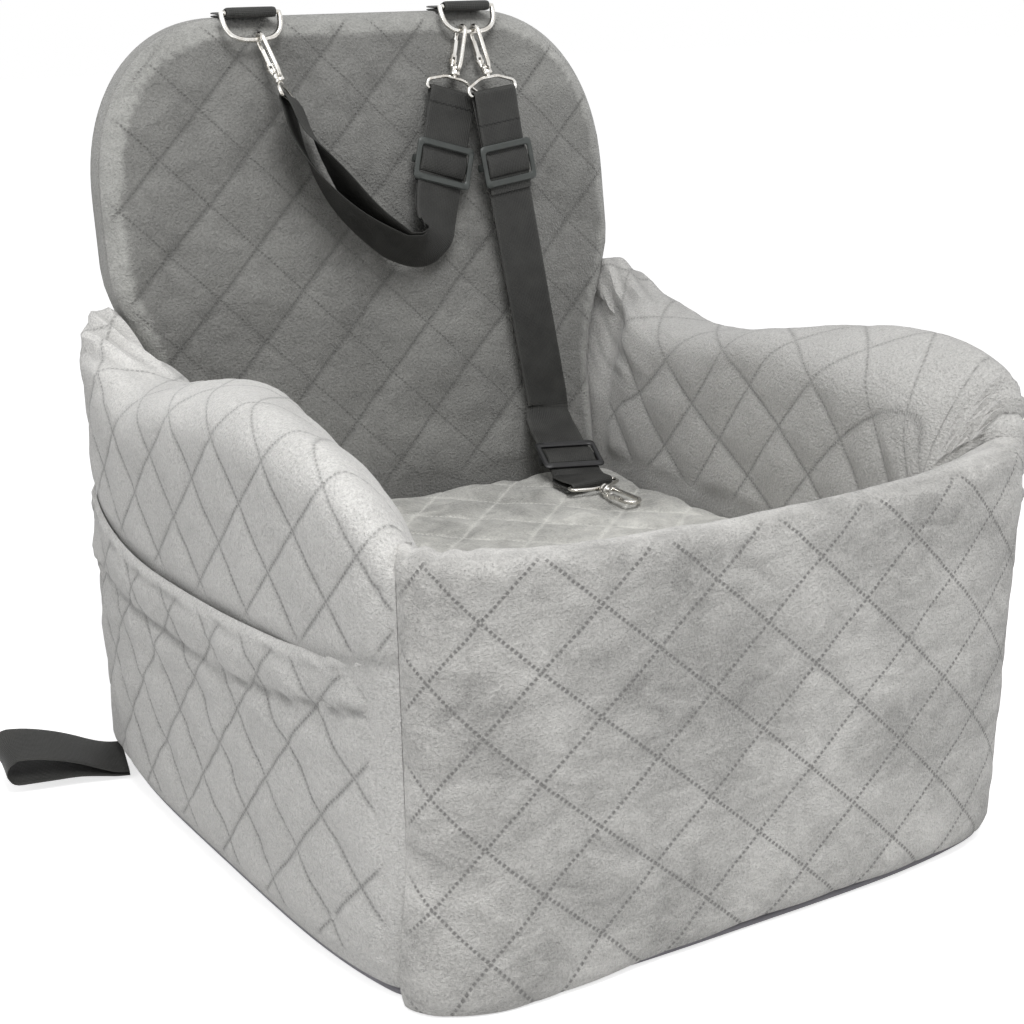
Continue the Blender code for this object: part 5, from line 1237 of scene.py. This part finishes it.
def cushion():
    """The loose seat cushion: a crowned pad blown up a little by a cloth simulation, then
    quilted."""
    rows = []
    for inset, z in (
        (0.022, 0.1100), (0.010, 0.1112), (0.0055, 0.1165), (0.0045, 0.130), (0.0045, 0.160),
        (0.0055, 0.1715), (0.0095, 0.1775), (0.018, 0.1800),
    ):
        core = CUSHION_HALF - inset - CUSHION_CORNER
        ring = []
        for cx, cy, turn in ((1, 1, 0), (-1, 1, 90), (-1, -1, 180), (1, -1, 270)):
            for k in range(9):
                angle = math.radians(turn + k * 11.25)
                px = cx * core + CUSHION_CORNER * math.cos(angle)
                py = cy * core + CUSHION_CORNER * math.sin(angle)
                if cy < 0:
                    py = py + seat_front(px) + CUSHION_HALF
                ring.append((px, py))
        rows.append((even(np.array(ring), 0.012), z))
    count = len(rows[0][0])
    points = []
    for ring, z in rows:
        loop = np.vstack([ring, ring[:1]])
        at = np.linspace(0, len(ring), count, endpoint=False)
        k = np.arange(len(ring) + 1)
        px, py = np.interp(at, k, loop[:, 0]), np.interp(at, k, loop[:, 1])
        points += [(a, b, z) for a, b in zip(px, py)]
    mesh = bpy.data.meshes.new("seat_cushion")
    mesh.from_pydata(points, [], ring_faces(len(rows), count))
    pad = bpy.data.objects.new("seat_cushion", mesh)
    bpy.context.scene.collection.objects.link(pad)
    bpy.context.view_layer.objects.active = pad
    remesh = pad.modifiers.new("remesh", "REMESH")
    remesh.mode = "VOXEL"
    remesh.voxel_size = 0.005
    bpy.ops.object.modifier_apply(modifier="remesh")
    mesh = pad.data
    before = read_vectors(mesh, "co")
    crown = 0.007 * smooth(seat_reach(before[:, 0], before[:, 1]) / 0.035)
    before[:, 2] += crown * (before[:, 2] > 0.15)
    mesh.vertices.foreach_set("co", before.ravel())
    cloth = pad.modifiers.new("cloth", "CLOTH")
    cloth.settings.use_pressure = True
    cloth.settings.uniform_pressure_force = 4
    cloth.settings.effector_weights.gravity = 0
    cloth.settings.quality = 5
    for number in range(1, 21):
        bpy.context.scene.frame_set(number)
    shown = pad.evaluated_get(bpy.context.evaluated_depsgraph_get())
    move = read_vectors(shown.data, "co") - before
    pad.modifiers.remove(cloth)
    bpy.context.scene.frame_set(1)
    size = np.linalg.norm(move, axis=1, keepdims=True)
    move = move * np.minimum(1, 0.0050 / np.maximum(size, 1e-9))
    move[:, 2] = np.clip(move[:, 2], -0.001, 0.0035)
    mesh.vertices.foreach_set("co", (before + move).ravel())
    split = pad.modifiers.new("finer", "SUBSURF")
    split.levels = split.render_levels = 1
    bpy.ops.object.modifier_apply(modifier="finer")
    mesh = pad.data
    p, n = read_vectors(mesh, "co"), read_vectors(mesh, "normal")
    x, y, z = p.T
    facing = smooth((n[:, 2] - 0.2) / 0.6)
    reach = seat_reach(x, y)
    inward = smooth(reach / 0.016)
    swell = 0.0034 * (puff(x, y) - 0.55) * facing * inward
    crumple = 0.0006 * ripple(x, y, 0.05, 6.2) + 0.0005 * ripple(x, y, 0.018, 1.1)
    crumple = crumple * facing * inward
    seam = -0.0016 * gauss(z - 0.1735, 0.0018) - 0.0012 * gauss(z - 0.1190, 0.0018)
    p = p + n * (swell + crumple + seam * (1 - facing))[:, None]
    top = CUSHION_TOP + 0.0065 * smooth(reach / 0.03)
    top = top + QUILT_RISE * puff(x, y) * smooth(reach / 0.02)
    p[:, 2] = np.where(facing > 0.5, np.minimum(p[:, 2], top + 0.0002), p[:, 2])
    # The dent under the lead's dog hook
    p[:, 2] -= 0.0024 * gauss(np.hypot(x - 0.112, y - 0.045), 0.032) * facing * (z > 0.15)
    p[:, 2] = np.maximum(p[:, 2], CUSHION_BOTTOM)
    limit = CUSHION_HALF + GAP
    p[:, 0] = np.clip(p[:, 0], -limit, limit)
    p[:, 1] = np.clip(p[:, 1], seat_front(x) - GAP, limit)
    faces = [tuple(f.vertices) for f in mesh.polygons]
    # Painted highlight along the edges of the cushion's top
    marks = np.stack([facing * inward, 0.3 * gauss(reach - 0.004, 0.012) * facing], -1)
    bpy.data.objects.remove(pad)
    uv = np.stack([x, y], -1)
    piece = add_piece("cushion_padding", p, faces, "cushion", "seat", uv, marks, angle=70)
    return piece


def base_cloth():
    """The cloth-covered sole that shows as a thin strip under the walls."""
    y = np.linspace(-HALF_DEPTH + 0.003, HALF_DEPTH - 0.003, 60)
    depth = side_skin(y) + 0.007
    x = np.linspace(-HALF_WIDTH + 0.012, HALF_WIDTH - 0.012, 60)
    bow = seam_draw(HALF_WIDTH - np.abs(x)) - front_bulge(x / HALF_WIDTH) + 0.007
    outline = np.vstack([
        np.stack([x, -HALF_DEPTH + bow], -1),
        np.stack([HALF_WIDTH - depth, y], -1)[2:],
        np.stack([-(HALF_WIDTH - depth), y], -1)[::-1][:-2],
    ])
    outline = even(outline, 0.006)
    rows = (
        (0.0016, 0.0), (0.0004, 0.0006), (0.0, 0.0020), (0.0004, 0.0034), (0.0016, 0.0040),
    )
    points = []
    for inset, z in rows:
        points += [(a, b, z) for a, b in outline - unit(outline) * inset]
    points = np.array(points)
    faces = ring_faces(len(rows), len(outline))
    uv = points[:, :2] + points[:, 2:3]
    piece = add_piece("base_cloth", points, faces, "base", "seat", uv)
    return piece


# Webbing
def headrest_turned(rows):
    """The headrest strap's rows with its long free run turned underside to the front, and
    with its two layers parted."""
    onward = unit(np.gradient(rows[:, :3], axis=0))
    onward[36:] *= -1
    back = np.array((0, 0.989, -0.148))
    back = unit(back - (onward @ back)[:, None] * onward)
    x = rows[:, 0]
    turn = np.interp(
        x, (-0.072, -0.055, -0.035, -0.010, 0.015, 0.034, 0.045), (-30, -8, 4, 16, 34, 64, 86)
    )
    turn = np.radians(turn)[:, None]
    share = (smooth((0.048 - x) / 0.010) * smooth((x + 0.074) / 0.014))[:, None]
    level = np.cos(turn) * back + np.sin(turn) * np.cross(onward, back)
    rows[:, 3:] = (1 - share) * rows[:, 3:] + share * level
    for _ in range(12):
        for low, high in ((14, 31), (39, 56)):
            rows[low:high, :3] = eased(rows[low:high, :3])
        rows[:, 3:] = eased(rows[:, 3:])
    first = (np.arange(len(rows)) < 31) * smooth((x + 0.076) / 0.018) * smooth((-0.018 - x) / 0.03)
    rows[:, :3] += 0.0026 * first[:, None] * np.array((0.70, -0.25, 0.55))
    return rows


def ribbon(name, body, seams=()):
    """Flat webbing with rounded selvedges along its route."""
    # Centres to a tenth of a millimetre, directions to four places
    rows = thinned(ROUTES[name][:, :6])
    rows = rounded(np.hstack([rounded(rows[:, :3], 5), rows[:, 3:]]), 4)
    if name == "headrest_strap":
        rows = headrest_turned(rows)
    path = spread(rows, 0.0022)
    centre = path[:, :3]
    along = unit(np.gradient(centre, axis=0))
    across = unit(path[:, 3:])
    across = unit(across - np.sum(across * along, axis=1, keepdims=True) * along)
    face = np.cross(across, along)
    last = ROUTES[name][0, 6:]
    for k in range(len(face)):
        if face[k] @ last < 0:
            face[k] = -face[k]
        last = face[k]
    way = lengths_along(centre)
    sides = 24
    turn = np.linspace(0, math.tau, sides, endpoint=False)
    flat = np.sign(np.cos(turn)) * np.abs(np.cos(turn)) ** 0.35 * WEB_WIDTH / 2
    thick = np.sign(np.sin(turn)) * np.abs(np.sin(turn)) ** 0.6 * WEB_THICKNESS / 2
    thick = thick * (1 + 0.10 * gauss(np.abs(flat) - 0.0175, 0.0016))
    points = centre[:, None] + across[:, None] * flat[:, None] + face[:, None] * thick[:, None]
    beside = np.full(len(way), 0.5)
    for seam in seams:
        beside = np.where(np.abs(way - seam) < np.abs(beside), way - seam, beside)
    piece = add_piece(
        name + "_webbing", points.reshape(-1, 3), ring_faces(len(way), sides), "web", body,
        np.stack([np.tile(flat, len(way)), np.repeat(way, sides)], -1),
        np.stack([np.repeat(beside, sides), np.zeros(len(way) * sides)], -1), angle=60,
    )
    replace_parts(piece, name)
    return piece, centre, way


def declare_run(strap, first, last, far_end):
    """The path of a strap's long run between two places along it; with far_end set to object it is
    drawn midway between the strap's two layers. Nothing is done with the path.
    """
    piece, centre, way = straps[strap]
    path = centre[(way >= first) & (way <= last)]
    if far_end == "object":
        # The doubled strap is followed midway between its two layers
        rest = centre[(way < first - 0.025) | (way > last + 0.015)]
        apart = np.linalg.norm(path[:, None] - rest[None], axis=2)
        share = 0.5 * smooth((0.030 - np.min(apart, axis=1)) / 0.010)[:, None]
        path = (1 - share) * path + share * rest[np.argmin(apart, axis=1)]
        for _ in range(60):
            path = eased(path)


# Metal and plastic fittings
def tube(path, radius, sides=16, closed=False):
    """A round wire along a path, with rounded ends where it is open."""
    path = np.array(path, float)
    count = len(path)
    if closed:
        along = unit(np.roll(path, -1, axis=0) - np.roll(path, 1, axis=0))
    else:
        along = unit(np.gradient(path, axis=0))
    side = unit(np.cross(along[0], (0.31, 0.47, 0.83)))
    turn = np.linspace(0, math.tau, sides, endpoint=False)[:, None]
    sides_at = []
    for k in range(count):
        side = unit(side - (side @ along[k]) * along[k])
        sides_at.append(side)
    # A closed path's frames are turned little by little so that they meet
    twist = 0.0
    if closed:
        last, first = sides_at[-1], sides_at[0]
        carried = last - (last @ along[0]) * along[0]
        twist = -math.atan2(np.cross(first, carried) @ along[0], first @ carried)
    rings = []
    for k in range(count):
        up = np.cross(along[k], sides_at[k])
        angle = turn + twist * k / count
        rings.append(path[k] + radius * (np.cos(angle) * sides_at[k] + np.sin(angle) * up))
    if not closed:
        caps = []
        for place, way, ring in ((path[0], -along[0], rings[0]), (path[-1], along[-1], rings[-1])):
            caps.append([
                place + (ring - place) * share + way * radius * lift
                for lift, share in ((0.5, 0.866), (0.87, 0.5))
            ])
        rings = [*reversed(caps[0]), *rings, *caps[1]]
    return np.vstack(rings), ring_faces(len(rings), sides, closed)


def bent(corners, radius, steps=6, closed=False):
    """A path with its corners rounded."""
    corners = [np.array(c, float) for c in corners]
    count = len(corners)
    out = []
    for k, corner in enumerate(corners):
        if not closed and k in (0, count - 1):
            out.append(corner)
            continue
        back = corners[k - 1] - corner
        on = corners[(k + 1) % count] - corner
        reach = min(radius, np.linalg.norm(back) * 0.48, np.linalg.norm(on) * 0.48)
        start, stop = corner + unit(back) * reach, corner + unit(on) * reach
        for t in np.linspace(0, 1, steps):
            out.append((1 - t) ** 2 * start + 2 * t * (1 - t) * corner + t * t * stop)
    return out


def turned(profile, sides=28):
    """A round solid from its profile of (radius, height)."""
    angle = np.linspace(0, math.tau, sides, endpoint=False)
    points = [(r * math.cos(a), r * math.sin(a), z) for r, z in profile for a in angle]
    return np.array(points), ring_faces(len(profile), sides)


def box(low, high, chamfer):
    """A block with its edges taken off."""
    work = bmesh.new()
    bmesh.ops.create_cube(work, size=1)
    low, high = np.array(low), np.array(high)
    for vertex in work.verts:
        vertex.co = Vector(((low + high) / 2 + np.array(vertex.co) * (high - low)).tolist())
    bmesh.ops.bevel(work, geom=work.edges[:], offset=chamfer, segments=2, affect="EDGES", profile=0.5)
    points = np.array([tuple(v.co) for v in work.verts])
    faces = [tuple(v.index for v in f.verts) for f in work.faces]
    work.free()
    return points, faces


def frame_ring(outer, inner, low, high, chamfer):
    """A flat rectangular frame with softened edges, between two outlines on X and Z."""
    sides = 96
    angle = np.linspace(0, math.tau, sides, endpoint=False)

    def on(half, corner, turn):
        """Where a ray from the centre meets a rounded rectangle."""
        c, s = abs(math.cos(turn)), abs(math.sin(turn))
        reach = min(half[0] / max(c, 1e-9), half[1] / max(s, 1e-9))
        p = np.array([reach * c, reach * s])
        core = np.array(half) - corner
        over = np.maximum(p - core, 0)
        if over.min() > 0:
            # Slide back along the ray to the corner's arc
            a, b, k = 1.0, -2 * (c * core[0] + s * core[1]), core @ core - corner**2
            reach = (-b + math.sqrt(max(b * b - 4 * a * k, 0))) / 2
        return np.array([reach * math.cos(turn), reach * math.sin(turn)])

    rows = []
    for which, inset, y in (
        (0, 0, low + chamfer), (0, chamfer, low), (1, -chamfer, low), (1, 0, low + chamfer),
        (1, 0, high - chamfer), (1, -chamfer, high), (0, chamfer, high), (0, 0, high - chamfer),
    ):
        half, corner = (outer, 0.0035) if which == 0 else (inner, 0.0012)
        ring = [on((half[0] - inset, half[1] - inset), corner, a) for a in angle]
        rows.append([(p[0], y, p[1]) for p in ring])
    return np.array(rows).reshape(-1, 3), ring_faces(len(rows), sides, True)


def fitting(name, node, parts, finish, body):
    """Join parts, given in a node's own frame, into one piece that stands for the node."""
    where, directions = PLACES[node]
    points, faces = [], []
    for part_points, part_faces in parts:
        faces += [tuple(i + len(points) for i in f) for f in part_faces]
        points += (where + np.asarray(part_points) @ directions).tolist()
    piece = add_piece(name, points, faces, finish, body, angle=40)
    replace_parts(piece, node)
    return piece


def hook_body():
    """A snap hook's bent wire and its turned barrel."""
    r = HOOK_HALF_WIDTH
    corners = [
        (-r, 0, 0.0125), (-r, 0, 0.009), (-0.86 * r, 0, 0.0057), (-0.5 * r, 0, 0.0035),
        (0.5 * r, 0, 0.0035), (0.86 * r, 0, 0.0057), (r, 0, 0.009),
    ]
    path = bent(corners, 0.0016, 5)
    path += [(r, 0, z) for z in np.linspace(0.0135, 0.029, 5)]
    for angle in np.linspace(0, math.pi, 21):
        path.append((r * math.cos(angle), 0, HOOK_SHANK + r * math.sin(angle)))
    path.append((-r, 0, 0.0293))
    barrel = turned([
        (0.0034, 0.0), (0.0040, 0.0003), (0.0042, 0.0009), (0.0042, 0.0022), (0.00385, 0.0027),
        (0.00385, 0.0041), (0.0042, 0.0046), (0.0042, 0.0059), (0.0038, 0.0066), (0.0030, 0.0070),
    ])
    return [tube(path, HOOK_WIRE / 2), barrel]


def swivel_eye():
    """The flat loop that the webbing passes through, with its post and riveted head."""
    right = [(0.008, 0, -0.0022), (EYE_HALF, 0, -0.0083), (EYE_HALF, 0, -EYE_DROP)]
    corners = right + [(-x, y, z) for x, y, z in reversed(right)]
    loop = tube(bent(corners, EYE_WIRE, 6, True), EYE_WIRE / 2, 14, True)
    post = turned([
        (0.0016, -0.0026), (0.0016, 0.0073), (0.0027, 0.0074), (0.0029, 0.0078),
        (0.0024, 0.0084), (0.0012, 0.0087),
    ])
    return [loop, post]


def d_ring():
    """A wire ring, straight where the tab holds it."""
    path = []
    for angle in np.linspace(0, math.pi, 41):
        across = math.copysign(abs(math.cos(angle)) ** (2 / 3), math.cos(angle))
        path.append((RING_HALF * across, 0, -RING_DEPTH * math.sin(angle) ** (2 / 3)))
    path += [(RING_HALF * share, 0, 0) for share in np.linspace(-0.9, 0.9, 14)]
    return [tube(path, RING_WIRE / 2, 18, True)]


def slider():
    """A moulded slider: outer frame, middle bar and the two cheeks that hold it."""
    parts = [frame_ring((0.0249, 0.0165), (0.0208, 0.0112), -0.0048, -0.0021, 0.0009)]
    parts.append(box((-0.0225, 0.00225, -0.00225), (0.0225, 0.00445, 0.00225), 0.0006))
    for sign in (-1, 1):
        low, high = sorted((sign * 0.0212, sign * 0.0246))
        parts.append(box((low, -0.00335, -0.0030), (high, 0.00445, 0.0030), 0.0005))
    return parts


def webbing_roll(name, node, body):
    """The hump of webbing that shows in a slider's window, where it passes over the bar."""
    where, directions = PLACES[node]
    half = (-0.0198, -0.0194, -0.0180, -0.009)
    x = np.array((*half, 0.0, *(-a for a in reversed(half))))
    z = ROLL_HALF_HEIGHT * np.sin(np.linspace(-math.pi / 2, math.pi / 2, 15))
    across, up = np.meshgrid(x, z)
    ends = np.where(np.abs(across) > 0.0197, 0.55, np.where(np.abs(across) > 0.019, 0.85, 1.0))
    out = -0.0018 - 0.0034 * np.sqrt(np.clip(1 - (up / ROLL_HALF_HEIGHT) ** 2, 0, 1)) * ends
    local = np.stack([across, out, up], -1).reshape(-1, 3)
    under = local.copy()
    under[:, 1] = -0.0012
    rows, columns, count = len(z), len(x), len(local)
    level = np.zeros(count)
    faces = grid_faces(rows, columns, level) + grid_faces(rows, columns, level, count)
    index = np.arange(count).reshape(rows, columns)
    sides = (index[0, :-1], index[:-1, -1], index[-1, :0:-1], index[:0:-1, 0])
    edge = np.concatenate(sides).tolist()
    faces += [(a, b, b + count, a + count) for a, b in zip(edge, edge[1:] + edge[:1])]
    local = np.vstack([local, under])
    marks = np.full((len(local), 2), (0.5, 0.0))
    piece = add_piece(
        name, where + local @ directions, faces, "web", body, local[:, (0, 2)], marks, angle=60
    )


# Putting the seat together
add_camera()
add_light()
add_floor()

for side, sign in (("left", -1), ("right", 1)):
    wall = side_wall(sign, side + "_wall_padding")
    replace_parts(wall, side + "_cover", side + "_foam")
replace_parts(front_wall(), "front_cover", "front_foam")
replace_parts(backrest(), "backrest_cover", "backrest_foam")
for side, sign in (("left", -1), ("right", 1)):
    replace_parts(pocket(sign, side + "_pocket_panel"), side + "_pocket")
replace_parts(cushion(), "cushion_cover", "cushion_foam")
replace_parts(base_cloth(), "base_cover")

# Each strap's stations and each fitting's place
ROUTES = {"tether_loop": tether_route()}
PLACES = {}
for strap, route in (("headrest_strap", headrest_route), ("lead_strap", lead_route)):
    ROUTES[strap], sliders = route()
    PLACES.update(sliders)
for name, hook in HOOKS.items():
    PLACES[name + "_body"] = hook.origin, hook.body
    PLACES[name + "_eye"] = hook.origin, hook.eye
for side, bar in RINGS.items():
    ring_up = math.cos(RING_TILT) * UPWARD - math.sin(RING_TILT) * FORWARD
    ROUTES[side + "_ring_tab"] = ring_tab_route(bar)
    PLACES[side + "_d_ring"] = bar, axes(ACROSS, ring_up)

# Each strap's body and the places of the sewn seams along it
straps = {}
for strap, carrier, sewn in (
    ("headrest_strap", "headrest_strap", (0.5453,)), ("lead_strap", "lead", (0.0540,)),
    ("left_ring_tab", "seat", ()), ("right_ring_tab", "seat", ()), ("tether_loop", "seat", ()),
):
    straps[strap] = ribbon(strap, carrier, sewn)

for hook, eye_body in (
    ("headrest_left_hook", "headrest_strap"), ("headrest_right_hook", "headrest_strap"),
    ("lead_ring_hook", "lead"), ("lead_dog_hook", "lead"),
):
    fitting(hook + "_wire", hook + "_body", hook_body(), "metal", hook)
    fitting(hook + "_loop", hook + "_eye", swivel_eye(), "metal", eye_body)
for slide in ("headrest_slider", "lead_upper_slider", "lead_lower_slider"):
    tone = "black" if slide == "lead_lower_slider" else "slider"
    fitting(slide + "_frame", slide, slider(), tone, slide)
    webbing_roll(slide + "_webbing_roll", slide, slide)
for side in RINGS:
    fitting(side + "_ring_wire", side + "_d_ring", d_ring(), "metal", side + "_ring")

# Nodes that no piece replaces keep their shape and get a finish
FINISHES = (("_gate", "metal"), ("_pin", "metal"), ("_foam", "foam"), ("_board", "board"))
for node in frame["nodes"]:
    for ending, finish in FINISHES:
        if node.endswith(ending):
            for material_slot in bpy.data.objects[node].material_slots:
                material_slot.material = MATERIALS[finish]

# The free runs, from and to these places along each strap, and what their far ends hold to; their
# paths are worked out but not used
declare_run("lead_strap", 0.0815, 0.4600, "fitting")
declare_run("headrest_strap", 0.2700, 0.5650, "object")
